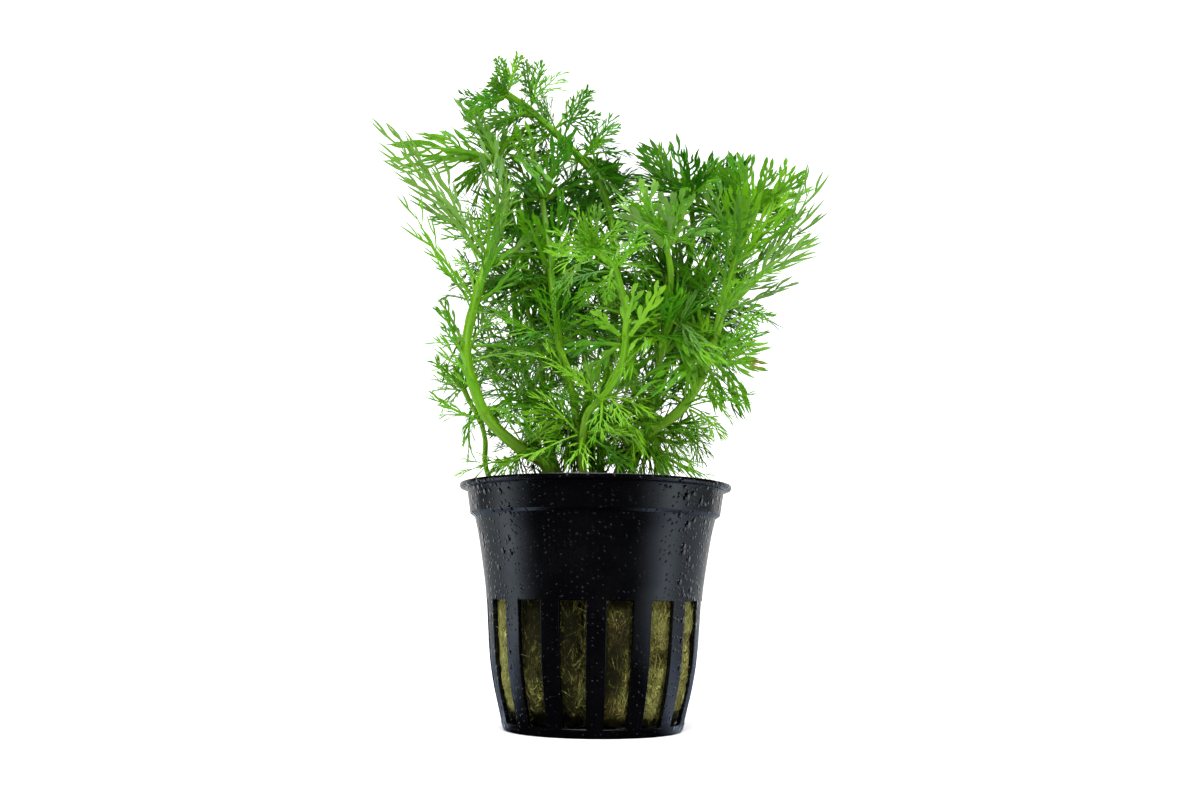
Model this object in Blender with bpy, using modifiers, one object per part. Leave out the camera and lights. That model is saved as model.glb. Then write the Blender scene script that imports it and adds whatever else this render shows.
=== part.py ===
"""A giant ambulia, a stem plant with whorled divided leaves, in a slotted net pot packed with mineral wool.

The origin is the centre of the pot's flat base, +Z is up and the front is -Y. Blender's unit is the metre.
Routes and sizes are written in millimetres and become metres where a mesh is made.
"""

import math
from dataclasses import dataclass

import bmesh
import bpy
import numpy as np
from mathutils import Matrix, Vector
from mathutils.bvhtree import BVHTree

MM = 0.001
GAP = 0.3

# Pot
LIP_RADIUS = 27.5
POT_HEIGHT = 48.4
LIP_HEIGHT = 1.0
COLLAR_TOP_RADIUS = 26.0
COLLAR_FOOT_RADIUS = 25.3
COLLAR_FOOT = 42.2
WALL = 0.9
FLOOR = 1.5
BASE_RADIUS = 17.3
POT_STEPS = 30
SLOTS = 15
SLOT_HALF_ANGLE = math.radians(6.9)
FIRST_BAR_ANGLE = math.radians(1.3)
SLOT_FOOT = 1.8
SLOT_TOP = 25.3
DRAINS = 5

# Outer wall below the collar, (radius, height): straight taper, upright by the slots, then drawn in to the base.
WALL_LINE = [(24.3, 41.7), (21.7, 26.0), (20.9, 15.0), (19.7, 7.5), (18.3, 2.2), (BASE_RADIUS, 0.0)]

# Mineral wool
WOOL_TOP = 44.5
WOOL_FOOT = 2.1
WAD_BORE = 9.6
WAD_CLEARANCE = 0.7

# Leaf whorls
RING_HEIGHT = 1.0
RING_WALL = 0.5
BUD_HEIGHT = 1.6
LEAF_THICKNESS = 0.7
LEAF_MARGIN = 0.25
LOWEST_LEAF = POT_HEIGHT + 0.9

GREEN = (0.10, 0.33, 0.02)
STEM_GREEN = (0.17, 0.42, 0.03)
POT_BLACK = (0.008, 0.009, 0.011)
WOOL_OLIVE = (0.20, 0.17, 0.05)


@dataclass(frozen=True)
class LeafShape:
    """A flat leaf's outline: half width as a share of its length, where its thick midrib has points, and one side's
    points (place along the leaf, share of the half width, number of the rib point that they fan from)."""

    half_width: float
    rib: tuple
    side: tuple


SHAPES = {
    "feathery": LeafShape(0.27, (0.40,), ((0.54, 1.0, 0), (0.56, 0.40, 0), (0.86, 0.68, 0))),
    "lobed": LeafShape(0.23, (0.40,), ((0.58, 1.0, 0), (0.60, 0.48, 0), (0.88, 0.78, 0))),
    "long": LeafShape(0.11, (0.42,), ((0.62, 1.0, 0), (0.66, 0.5, 0))),
    "small": LeafShape(0.26, (0.42,), ((0.64, 1.0, 0), (0.62, 0.42, 0))),
}


@dataclass(frozen=True)
class Whorl:
    """The leaves at one node. at is the place along the stem's route, in route points. Each aimed leaf has its tip."""

    at: float
    kind: str
    length: float
    lift: float
    more: int
    aimed: tuple = ()


@dataclass(frozen=True)
class Stem:
    """One shoot: radii at foot and tip, the points that its centreline passes, and its whorls, the last its crown."""

    name: str
    foot: float
    tip: float
    route: tuple
    whorls: tuple


STEMS = (
    Stem(
        "left",
        1.2,
        0.8,
        (
            (-7, -2, 38.5), (-9.5, -5, 51), (-14.5, -8, 54.5), (-19, -10, 58), (-22, -11, 61.5),
            (-24, -11, 66), (-25.5, -11, 71), (-26, -11, 75), (-25.5, -10, 80), (-24.5, -9, 85),
            (-22.5, -7, 94), (-20.5, -5, 100.5), (-19.5, -3, 107.5), (-20, -2, 113), (-21.5, -1, 117.5),
        ),
        (
            Whorl(2, "feathery", 10, 10, 3, ((-21.5, -13, 51.5), (-17.5, -15, 50.5), (-8, -12, 59))),
            Whorl(4, "feathery", 12, 20, 3, ((-31, -14, 76.5), (-32, -14, 64.5), (-14.5, -6, 66), (-13, -14, 57.5))),
            Whorl(7, "feathery", 14, 25, 4, ((-12.5, -8, 74.5), (-34, -4, 79.5), (-30, -17, 82))),
            Whorl(9, "feathery", 15, 35, 4, ((-38, -12, 104), (-34.5, -14, 96), (-15.5, -16, 91))),
            Whorl(
                10,
                "long",
                17,
                45,
                2,
                ((-42.5, -9, 119.5), (-39, -15, 110.5), (-22.5, -14, 115), (-32, -3, 113), (-13, -12, 98)),
            ),
            Whorl(
                14,
                "lobed",
                13,
                35,
                3,
                ((-42, -2, 118), (-37, -7, 117.5), (-33.5, 4, 124), (-28, -4, 128), (-12, -6, 111)),
            ),
        ),
    ),
    Stem(
        "far_left",
        0.55,
        0.5,
        ((-17.5, 1.5, 41.7), (-22.5, 3, 51.5), (-23, 3, 57.5), (-24, 3, 61.5), (-26.5, 4, 66), (-28, 4, 69)),
        (Whorl(5, "feathery", 11, 15, 6, ((-34, 6, 75.5), (-29.5, 2, 79.5))),),
    ),
    Stem(
        "inner_left",
        0.7,
        0.5,
        (
            (-5, 0, 38.5), (-7.5, -1, 51), (-12, -2, 55), (-14, -1, 60), (-14.5, 0, 65),
            (-13.5, 1, 68.5), (-11.5, 2, 73), (-9.5, 3, 76), (-6.5, 5, 81), (-4, 7, 88), (-3.5, 8, 92.5),
        ),
        (
            Whorl(4.5, "feathery", 15, 15, 8),
            Whorl(10, "feathery", 15, 35, 8),
        ),
    ),
    Stem(
        "slender",
        0.5,
        0.45,
        (
            (-6.5, 5, 38.5), (-9, 5, 56), (-10, 5, 64), (-11, 5, 68), (-11.5, 5, 73), (-13, 6, 80), (-15, 7, 86.5),
            (-16, 7, 91.5),
        ),
        (Whorl(7, "feathery", 14, 30, 8),),
    ),
    Stem(
        "centre",
        0.9,
        0.6,
        (
            (-1.5, -3, 38.5), (-3, -4, 54), (-4, -5, 60), (-4.5, -5, 64.5), (-6, -5, 70.5), (-7.5, -5, 76),
            (-8.5, -5, 83), (-9.5, -4, 89.5), (-10, -3, 96), (-11, -2, 102.5), (-12, 0, 109),
        ),
        (
            Whorl(2.2, "feathery", 14, 10, 7, ((-13, -16, 60),)),
            Whorl(5.2, "feathery", 15, 25, 8),
            Whorl(7.5, "lobed", 15, 35, 7, ((-14, -16, 100),)),
            Whorl(10, "lobed", 14, 40, 8),
        ),
    ),
    Stem(
        "front",
        0.75,
        0.65,
        (
            (-1, -6, 38.5), (-2.5, -11, 51.5), (-2.5, -15, 57), (-1.5, -17, 61), (1, -18, 63.5), (3.5, -19, 67),
            (5, -20, 71), (5.5, -20, 75.5), (5.5, -20, 80), (4.5, -21, 84.5), (3, -22, 88.5), (1, -24, 90),
            (-0.5, -26, 91),
        ),
        (
            Whorl(2, "feathery", 11, 5, 6),
            Whorl(4, "feathery", 11, 15, 5, ((0.5, -24, 56), (-5, -22, 68))),
            Whorl(7, "lobed", 11, 25, 4, ((7, -26, 82.5), (11.5, -24, 84), (0, -24, 79))),
            Whorl(10, "feathery", 10, 30, 4, ((8.5, -22, 96.5), (2, -24, 81.5))),
            Whorl(
                12,
                "feathery",
                8,
                40,
                2,
                ((-4, -28, 97), (-7.5, -30, 93), (-8.5, -32, 88.5), (-6.5, -31, 84), (-0.5, -27, 98), (4, -26, 96)),
            ),
        ),
    ),
    Stem(
        "right",
        1.1,
        0.75,
        (
            (3.5, -2, 38.5), (5, -4, 51.5), (9, -6, 57), (12, -7, 59.5), (15, -8, 61.5), (17.5, -8, 64),
            (19.5, -8, 67), (21.5, -8, 71), (22.5, -8, 75), (24, -7, 79), (25.5, -6, 85), (27, -5, 90),
            (28.5, -4, 95.5), (31, -3, 101.5), (33, -2, 107),
        ),
        (
            Whorl(2, "feathery", 13, 5, 8),
            Whorl(5, "feathery", 12, 10, 4, ((25, -8, 58.5), (10.5, -14, 66), (20.5, -2, 54))),
            Whorl(7.5, "lobed", 13, 25, 4, ((32, -10, 72), (29, -6, 65.5), (11.5, -18, 66), (32.5, -3, 77))),
            Whorl(
                10, "long", 17, 40, 3, ((44.5, -4, 112), (38.5, -4, 90), (42.5, -8, 98), (44, 2, 105))
            ),
            Whorl(12, "lobed", 14, 35, 5, ((42, 4, 108), (36, -12, 106))),
            Whorl(
                14,
                "lobed",
                11,
                40,
                2,
                ((28.5, -4, 117), (32, 2, 118), (34.5, -8, 116), (40, 0, 117), (42, -6, 112.5), (43, 4, 113)),
            ),
        ),
    ),
    Stem(
        "top",
        0.9,
        0.7,
        (
            (1, 4, 38.5), (1, 6, 56.5), (1.5, 8, 67.5), (3, 9, 79.5), (4, 9, 91.5), (3.5, 8, 102.5), (1.5, 6, 111),
            (-1, 4, 115.5), (-4, 3, 119), (-7, 2, 122), (-10, 1, 124.5), (-13.5, 0, 127.5), (-17, -1, 130),
            (-20, -2, 131.5),
        ),
        (
            Whorl(8, "feathery", 12, 30, 4, ((3.5, 2, 126), (0.5, -5, 120), (3, 10, 131))),
            Whorl(10, "feathery", 12, 30, 4, ((-2, 0, 133), (-0.5, 5, 129.5), (-18.5, -4, 119))),
            Whorl(11.5, "feathery", 11, 30, 4, ((-13, 0, 139), (-8.5, 5, 139.5), (-26, -2, 124))),
            Whorl(
                13,
                "feathery",
                9,
                40,
                3,
                ((-29, -3, 133), (-27, -8, 126), (-22, -3, 139), (-17, -7, 138), (-16.5, 3, 138)),
            ),
        ),
    ),
    Stem(
        "right_inner",
        0.8,
        0.6,
        (
            (5, 2, 38.5), (8, 1, 54.5), (10.5, -2, 62.5), (12.5, -7, 72.5), (14, -11, 81.5), (14.5, -13, 89.5),
            (13.5, -14, 95.5),
        ),
        (
            Whorl(2, "feathery", 14, 10, 8),
            Whorl(3.6, "feathery", 14, 25, 8),
            Whorl(6, "lobed", 13, 35, 3, ((9.5, -17, 107), (6, -20, 100), (13, -19, 104), (17, -17, 104), (22, -17, 99))),
        ),
    ),
    Stem(
        "right_tall",
        0.8,
        0.6,
        (
            (4.5, 5, 38.5), (9, 8, 58), (13.5, 10, 70), (17.5, 10, 84.5), (19.5, 9, 96.5), (20.5, 8, 105.5),
            (19.5, 7, 112),
        ),
        (
            Whorl(3.2, "feathery", 17, 20, 7),
            Whorl(6, "lobed", 14, 45, 4, ((14, 6, 126), (25.5, 6, 122.5), (11, 2, 121), (22, 0, 116))),
        ),
    ),
    Stem(
        "right_back",
        0.8,
        0.6,
        ((2, 8, 38.5), (7.5, 15, 60), (15, 19, 76), (21.5, 20, 91), (25.5, 18, 103), (27.5, 16, 110.5)),
        (
            Whorl(2.6, "feathery", 17, 20, 7),
            Whorl(5, "lobed", 14, 40, 6, ((24.5, 14, 122.5), (29.5, 13, 121.5))),
        ),
    ),
    Stem(
        "left_back",
        0.8,
        0.6,
        ((-3.5, 7, 38.5), (-10, 13, 58), (-15, 17, 72), (-18, 18, 85.5), (-19, 17, 97.5), (-17.5, 16, 106.5)),
        (
            Whorl(2.6, "feathery", 17, 20, 7),
            Whorl(5, "lobed", 14, 40, 7),
        ),
    ),
    Stem(
        "back",
        0.8,
        0.6,
        ((-0.5, 9, 38.5), (-1, 16, 60), (-2.5, 21, 76), (-4, 23, 91.5), (-4.5, 22, 103.5), (-3.5, 20, 111.5)),
        (
            Whorl(2.6, "feathery", 17, 20, 7),
            Whorl(5, "lobed", 14, 40, 7),
        ),
    ),
)


def unit(v):
    return v / np.maximum(np.linalg.norm(v, axis=-1, keepdims=True), 1e-9)


def along(route, t):
    """Points of the smooth Catmull-Rom curve through a route, at places t counted in route points."""
    p = np.asarray(route, float)
    p = np.vstack([2 * p[0] - p[1], p, 2 * p[-1] - p[-2]])
    t = np.clip(np.atleast_1d(np.asarray(t, float)), 0, len(p) - 3)
    i = np.minimum(t.astype(int), len(p) - 4)
    f = (t - i)[:, None]
    a, b, c, d = (p[i + k] for k in range(4))
    return 0.5 * (2 * b + (c - a) * f + (2 * a - 5 * b + 4 * c - d) * f**2 + (3 * b - a - 3 * c + d) * f**3)


def heading(route, t):
    return unit(along(route, t + 0.1) - along(route, t - 0.1))[0]


def radius_at(stem, t):
    return stem.foot + (stem.tip - stem.foot) * t / (len(stem.route) - 1)


def turned_about(v, axis, angle):
    """v turned about a unit axis, by Rodrigues' formula."""
    c, s = math.cos(angle), math.sin(angle)
    return v * c + np.cross(axis, v) * s + axis * (v @ axis) * (1 - c)


@dataclass(frozen=True)
class Ring:
    """The collar of a whorl round its stem: centre, axis along the stem and the directions that its faces count from."""

    centre: np.ndarray
    axis: np.ndarray
    across: np.ndarray
    inner: float
    outer: float
    faces: int
    closed: bool

    def outward(self, angle):
        return math.cos(angle) * self.across + math.sin(angle) * np.cross(self.axis, self.across)

    def corners(self, face):
        """The corners of an outer face: two on top, then two at the foot, so that they go round it."""
        half = self.axis * RING_HEIGHT / 2
        near, far = (self.outer * self.outward(2 * math.pi * (face + k) / self.faces) for k in (0, 1))
        return self.centre + np.array([half + near, half + far, far - half, near - half])

    def face_angle(self, face):
        return 2 * math.pi * (face + 0.5) / self.faces

    def face_centre(self, face):
        return self.centre + self.outer * math.cos(math.pi / self.faces) * self.outward(self.face_angle(face))


def ring_of(stem, whorl, number):
    centre, axis = along(stem.route, whorl.at)[0], heading(stem.route, whorl.at)
    across = unit(np.cross(axis, [0.0, 1.0, 0.0] if abs(axis[1]) < 0.9 else [1.0, 0.0, 0.0]))
    faces = max(6, whorl.more + len(whorl.aimed))
    across = turned_about(across, axis, number * math.pi / faces)
    inner = (radius_at(stem, whorl.at) + GAP) / math.cos(math.pi / faces)
    return Ring(centre, axis, across, inner, inner + RING_WALL, faces, whorl is stem.whorls[-1])


@dataclass(frozen=True)
class Leaf:
    """One leaf: the ring face it grows from with that face's corners, the start, knee and tip of its bent midrib,
    and its blade's sideways direction at the root and beyond."""

    face: int
    shape: LeafShape
    corners: np.ndarray
    start: np.ndarray
    knee: np.ndarray
    tip: np.ndarray
    root_side: np.ndarray
    side: np.ndarray

    def midrib(self, u):
        """Points, directions and sideways directions at places u, 0 to 1, along the quadratic Bezier midrib."""
        u = np.asarray(u, float)[:, None]
        points = (1 - u) ** 2 * self.start + 2 * u * (1 - u) * self.knee + u**2 * self.tip
        ahead = unit(2 * (1 - u) * (self.knee - self.start) + 2 * u * (self.tip - self.knee))
        s = np.clip(u / 0.3, 0, 1)
        s = s * s * (3 - 2 * s)
        sideways = self.root_side * (1 - s) + self.side * s
        sideways = unit(sideways - ahead * (sideways * ahead).sum(1, keepdims=True))
        return points, ahead, sideways

    def solid(self, margin=0.0):
        """Points and triangles of the blade, open at its root: the corners, rib top, rib foot, left, right, tip.
        With a margin it is thicker all round and its root stands a little off the ring."""
        shape = self.shape
        width = np.linalg.norm(self.tip - self.start) * shape.half_width
        rib, ahead, sideways = self.midrib(shape.rib)
        lift = np.cross(ahead, sideways) * (LEAF_THICKNESS / 2 * np.linspace(1, 0.7, len(rib))[:, None] + margin)
        places, shares, fans = (list(column) for column in zip(*shape.side, strict=True))
        edge, _, spread = self.midrib(places)
        spread = spread * (np.array(shares)[:, None] * width + margin)
        tip, forward, _ = self.midrib([1.0])
        corners = self.corners + (rib[0] - self.corners) * (0.15 if margin else 0.0)
        points = np.vstack([corners, rib + lift, rib - lift, edge - spread, edge + spread, tip + forward * margin])
        ribs, sides, end = len(rib), len(places), len(points) - 1
        left, right = 4 + 2 * ribs, 4 + 2 * ribs + sides
        loop = (0, 4, 1, right, 2, 4 + ribs, 3, left)
        faces = []
        for i in range(0, 8, 2):
            faces.append((loop[i], loop[i + 1], loop[(i + 2) % 8]))
            faces.append((loop[i + 1], loop[(i + 2) % 8], loop[(i + 3) % 8]))
        for skin, first in ((4, left), (4, right), (4 + ribs, left), (4 + ribs, right)):
            for j in range(sides):
                here = skin + fans[j]
                if j == sides - 1:
                    faces.append((here, first + j, end))
                    break
                onward = skin + fans[j + 1]
                if onward != here:
                    faces.append((here, first + j, onward))
                faces.append((onward, first + j, first + j + 1))
        return points, faces


def aimed_leaves(ring, whorl, face, tip):
    """The leaf that ends at a tip, then the same leaf a little nearer or farther, for want of room."""
    tip = np.asarray(tip, float)
    start = ring.face_centre(face)
    root = ring.outward(ring.face_angle(face))
    for depth in (0, -1.5, 1.5, -3, 3, -5, 5, -7, 7, -9, 9):
        for turn in (0, 30, -30, 60):
            end = tip + [0, depth, 0]
            chord = end - start
            reach = np.linalg.norm(chord)
            knee = start + unit(0.6 * root + 0.25 * ring.axis + 0.9 * chord / reach) * reach * 0.45
            root_side = np.cross(ring.axis, root)
            side = unit(np.cross(chord, [0.0, -1.0, 0.0]))
            side = side if side @ root_side > 0 else -side
            side = turned_about(unit(side + 0.5 * root_side), unit(chord), math.radians(turn))
            yield Leaf(face, SHAPES[whorl.kind], ring.corners(face), start, knee, end, root_side, side)


def free_leaves(ring, whorl, face, draw):
    """A leaf that leaves its node at the whorl's lift and sags a little, then others turned, raised or shorter."""
    start = ring.face_centre(face)
    length = whorl.length * draw.uniform(0.85, 1.12)
    lift = whorl.lift + (14 if face % 2 else -10) + draw.uniform(-8, 8)
    roll = draw.uniform(-40, 40)
    sag = draw.uniform(0.05, 0.35)
    for shorter in (1.0, 0.85, 0.7, 0.55):
        for swing in (0, 10, -10, 18, -18, 25, -25):
            for rise in (0, 15, -15, 28):
                root = ring.outward(ring.face_angle(face) + math.radians(swing))
                angle = math.radians(min(lift + rise, 75))
                ahead = root * math.cos(angle) + ring.axis * math.sin(angle)
                reach = length * shorter
                knee = start + ahead * reach * 0.5
                end = start + unit(ahead - [0, 0, sag]) * reach
                root_side = np.cross(ring.axis, root)
                side = turned_about(root_side, ahead, math.radians(roll))
                yield Leaf(face, SHAPES["small"], ring.corners(face), start, knee, end, root_side, side)


class Thicket:
    """What already stands: each piece's faces with the box round them, so that a new leaf can be kept clear."""

    def __init__(self):
        self.pieces = []

    def add(self, points, faces):
        tree = BVHTree.FromPolygons([Vector(p) for p in points], faces)
        self.pieces.append((points.min(0), points.max(0), tree))

    def is_clear(self, leaf):
        points, faces = leaf.solid(LEAF_MARGIN)
        low, high = points.min(0), points.max(0)
        if low[2] < LOWEST_LEAF:
            return False
        near = [tree for least, most, tree in self.pieces if (least < high).all() and (most > low).all()]
        if not near:
            return True
        own = BVHTree.FromPolygons([Vector(p) for p in points], faces)
        return not any(own.overlap(tree) for tree in near)


def tube(points, radii, sides=8):
    """Points and faces of a plain tube, open at its ends, which stands for a stem while leaves find room."""
    ahead = unit(np.gradient(points, axis=0))
    across = unit(np.cross(ahead, [0.0, 1.0, 0.0]))
    up = np.cross(ahead, across)
    turn = np.arange(sides) * 2 * math.pi / sides
    rings = [points + radii[:, None] * (across * math.cos(a) + up * math.sin(a)) for a in turn]
    skin = np.stack(rings, 1).reshape(-1, 3)
    faces = []
    for i in range(len(points) - 1):
        for j in range(sides):
            k = (j + 1) % sides
            faces.append((i * sides + j, i * sides + k, (i + 1) * sides + k, (i + 1) * sides + j))
    return skin, faces


def stem_places(stem):
    """Places along the route where the stem's solid has its rings of points: its ends, its nodes and halfway."""
    last = len(stem.route) - 1
    marks = sorted({0.0, 1.0, *(float(w.at) for w in stem.whorls)})
    line = along(stem.route, np.linspace(0, last, 20 * last + 1))
    lengths = np.concatenate([[0], np.cumsum(np.linalg.norm(np.diff(line, axis=0), axis=1))])
    places = [0.0]
    for a, b in zip(marks, marks[1:], strict=False):
        span = np.interp([a, b], np.linspace(0, last, 20 * last + 1), lengths)
        cuts = max(1, round(float(span[1] - span[0]) / 10.0))
        places += [a + (b - a) * (k + 1) / cuts for k in range(cuts)]
    return np.array(places)


def stem_line(stem):
    """Centreline points and radii of a stem's solid. Its top stops short of the crown that sits on it."""
    places = stem_places(stem)
    points = along(stem.route, places)
    back = unit(points[-2] - points[-1])
    points[-1] += back * (RING_HEIGHT / 2 + GAP)
    return points, np.array([radius_at(stem, t) for t in places])


def grow_leaves():
    """Every ring and its leaves, by stem and whorl. Aimed leaves find room first, then the rest in turn."""
    thicket = Thicket()
    rings, leaves = {}, {}
    for stem in STEMS:
        points, radii = stem_line(stem)
        thicket.add(*tube(points, radii + 0.15))
        for number, whorl in enumerate(stem.whorls):
            key = (stem.name, number)
            rings[key] = ring_of(stem, whorl, number)
            leaves[key] = []
            half = rings[key].axis * RING_HEIGHT / 2
            ends = np.array([rings[key].centre - half, rings[key].centre + half])
            thicket.add(*tube(ends, np.full(2, rings[key].outer)))
    for stem in STEMS:
        for number, whorl in enumerate(stem.whorls):
            key = (stem.name, number)
            for tip in whorl.aimed:
                place(thicket, leaves[key], lambda face, t=tip, k=key, w=whorl: aimed_leaves(rings[k], w, face, t),
                      faces_towards(rings[key], leaves[key], tip)[:3])
    draw = np.random.default_rng(7)
    for stem in STEMS:
        for number, whorl in enumerate(stem.whorls):
            key = (stem.name, number)
            for _ in range(whorl.more):
                place(thicket, leaves[key], lambda face, k=key, w=whorl: free_leaves(rings[k], w, face, draw),
                      free_faces(rings[key], leaves[key]))
    return rings, leaves


def free_faces(ring, grown):
    """The ring's faces that bear no leaf yet, those farthest from the leaves that it has first."""
    taken = [leaf.face for leaf in grown]
    free = [face for face in range(ring.faces) if face not in taken]
    return sorted(free, key=lambda face: -min((turns_between(ring, face, other) for other in taken), default=0))


def turns_between(ring, face, other):
    apart = abs(face - other)
    return min(apart, ring.faces - apart)


def faces_towards(ring, grown, tip):
    """The ring's free faces, the one that looks most towards the tip first."""
    aim = unit(np.asarray(tip, float) - ring.centre)
    return sorted(free_faces(ring, grown), key=lambda face: -ring.outward(ring.face_angle(face)) @ aim)


def place(thicket, grown, candidates, faces):
    """Grows the first candidate that is clear of all that stands, on the first of the faces that lets it."""
    for face in faces:
        for leaf in candidates(face):
            if thicket.is_clear(leaf):
                grown.append(leaf)
                thicket.add(*leaf.solid())
                return


def whorl_mesh(name, ring, leaves):
    """One closed body: the ring, or a closed bud on a crown, with each leaf drawn out of its own outer face."""
    half = ring.axis * RING_HEIGHT / 2
    mesh = bmesh.new()
    corners = [ring.outward(2 * math.pi * k / ring.faces) for k in range(ring.faces)]

    def vertex(point):
        return mesh.verts.new(Vector(np.asarray(point, float) * MM))

    top = [vertex(ring.centre + half + ring.outer * c) for c in corners]
    foot = [vertex(ring.centre - half + ring.outer * c) for c in corners]
    if ring.closed:
        bud, root = vertex(ring.centre + half + ring.axis * BUD_HEIGHT), vertex(ring.centre - half)
    else:
        inner_top = [vertex(ring.centre + half + ring.inner * c) for c in corners]
        inner_foot = [vertex(ring.centre - half + ring.inner * c) for c in corners]
    by_face = {leaf.face: leaf for leaf in leaves}
    for k in range(ring.faces):
        n = (k + 1) % ring.faces
        if ring.closed:
            mesh.faces.new((top[k], top[n], bud))
            mesh.faces.new((foot[n], foot[k], root))
        else:
            mesh.faces.new((top[k], top[n], inner_top[n], inner_top[k]))
            mesh.faces.new((foot[n], foot[k], inner_foot[k], inner_foot[n]))
            mesh.faces.new((inner_top[k], inner_top[n], inner_foot[n], inner_foot[k]))
        if k not in by_face:
            mesh.faces.new((foot[k], foot[n], top[n], top[k]))
            continue
        points, faces = by_face[k].solid()
        blade = [top[k], top[n], foot[n], foot[k], *(vertex(p) for p in points[4:])]
        for face in faces:
            mesh.faces.new([blade[i] for i in face])
    bmesh.ops.recalc_face_normals(mesh, faces=mesh.faces)
    data = bpy.data.meshes.new(name)
    mesh.to_mesh(data)
    mesh.free()
    return data


def material(name, colour, roughness):
    made = bpy.data.materials.new(name)
    made.use_nodes = True
    shader = made.node_tree.nodes["Principled BSDF"]
    shader.inputs["Base Color"].default_value = (*colour, 1)
    shader.inputs["Roughness"].default_value = roughness
    shader.inputs["Metallic"].default_value = 0.0
    return made


def add(name, data, finish, collection):
    made = bpy.data.objects.new(name, data)
    made.data.materials.append(finish)
    collection.objects.link(made)
    return made


def turned(name, line, steps, finish, collection):
    """A solid of revolution about Z from a line of (radius, height) that runs down its outer side."""
    data = bpy.data.meshes.new(name)
    points = [(r * MM, 0, z * MM) for r, z in line]
    data.from_pydata(points, [(i, i + 1) for i in range(len(points) - 1)], [])
    made = add(name, data, finish, collection)
    screw = made.modifiers.new("turn", "SCREW")
    screw.steps = screw.render_steps = steps
    screw.use_merge_vertices = True
    screw.merge_threshold = 0.00001
    return made


def pot_line():
    """The pot's section: floor and inner wall upwards, over the lip, and down the outer wall to the base."""
    inner = [(r - WALL, z) for r, z in WALL_LINE[1:-2:2]]
    inner.append((BASE_RADIUS - 0.1, FLOOR))
    lip_foot = POT_HEIGHT - LIP_HEIGHT
    return [
        (0, FLOOR),
        *reversed(inner),
        (COLLAR_FOOT_RADIUS - WALL - 0.6, COLLAR_FOOT - 0.5),
        (COLLAR_TOP_RADIUS - WALL, POT_HEIGHT),
        (LIP_RADIUS, POT_HEIGHT),
        (LIP_RADIUS, lip_foot),
        (COLLAR_TOP_RADIUS, lip_foot),
        (COLLAR_FOOT_RADIUS, COLLAR_FOOT),
        *WALL_LINE,
        (0, 0),
    ]


def wedge(mesh, angle, half_angle, near, far, foot, top):
    """A box between two radii whose sides lie on radial planes, at an angle from the front."""
    place = Matrix.Translation((0, -(near + far) / 2, (foot + top) / 2))
    size = Matrix.Diagonal((1, far - near, top - foot, 1))
    made = bmesh.ops.create_cube(mesh, size=1, matrix=place @ size)
    for v in made["verts"]:
        v.co.x = math.copysign(-v.co.y * math.tan(half_angle), v.co.x)
    bmesh.ops.rotate(mesh, verts=made["verts"], matrix=Matrix.Rotation(angle, 3, "Z"))
    bmesh.ops.scale(mesh, verts=made["verts"], vec=(MM, MM, MM))


def cutter(name, fill, collection):
    mesh = bmesh.new()
    fill(mesh)
    data = bpy.data.meshes.new(name)
    mesh.to_mesh(data)
    mesh.free()
    made = bpy.data.objects.new(name, data)
    made.hide_render = True
    made.display_type = "WIRE"
    collection.objects.link(made)
    return made


def side_slots(mesh):
    pitch = 2 * math.pi / SLOTS
    for k in range(SLOTS):
        angle = FIRST_BAR_ANGLE + (k + 0.5) * pitch
        wedge(mesh, angle, SLOT_HALF_ANGLE, BASE_RADIUS - 3.2, LIP_RADIUS, SLOT_FOOT, SLOT_TOP)


def floor_drains(mesh):
    pitch = 2 * math.pi / DRAINS
    for k in range(DRAINS):
        wedge(mesh, FIRST_BAR_ANGLE + k * pitch, math.radians(10.3), 6.0, 13.0, -1.0, FLOOR + 1)


def make_pot(parts, helpers):
    pot = turned("net_pot", pot_line(), POT_STEPS, material("pot plastic", POT_BLACK, 0.25), parts)
    for name, fill in (("slot_cutters", side_slots), ("drain_cutters", floor_drains)):
        cut = pot.modifiers.new(name, "BOOLEAN")
        cut.operation = "DIFFERENCE"
        cut.solver = "EXACT"
        cut.object = cutter(name, fill, helpers)


def pot_bore(z):
    """The pot's inner radius at a height."""
    line = [(r - WALL, h) for r, h in reversed(WALL_LINE)] + [(COLLAR_FOOT_RADIUS - WALL, COLLAR_FOOT)]
    return float(np.interp(z, [h for _, h in line], [r for r, _ in line]))


def wad(name, first, last, levels, finish, collection):
    """A torn wad of wool: a box bent round the axis between two angles from the front, then rounded.
    levels are (height, how far it stands back from the pot's wall)."""
    columns = max(2, round((last - first) / 38))
    mesh = bmesh.new()
    bmesh.ops.create_cube(mesh, size=1)
    for count, axis in ((columns, (1, 0, 0)), (len(levels) - 1, (0, 0, 1))):
        for k in range(1, count):
            whole = [*mesh.verts, *mesh.edges, *mesh.faces]
            place = Vector(axis) * (k / count - 0.5)
            bmesh.ops.bisect_plane(mesh, geom=whole, plane_co=place, plane_no=axis)
    for v in mesh.verts:
        angle = math.radians(first + (last - first) * (v.co.x + 0.5))
        height, back = levels[round((v.co.z + 0.5) * (len(levels) - 1))]
        radius = pot_bore(height) - WAD_CLEARANCE - back if v.co.y < 0 else WAD_BORE
        v.co = Vector((radius * math.sin(angle), -radius * math.cos(angle), height)) * MM
    data = bpy.data.meshes.new(name)
    mesh.to_mesh(data)
    mesh.free()
    made = add(name, data, finish, collection)
    soft = made.modifiers.new("soft", "SUBSURF")
    soft.levels = soft.render_levels = 1
    made.data.shade_smooth()


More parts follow.
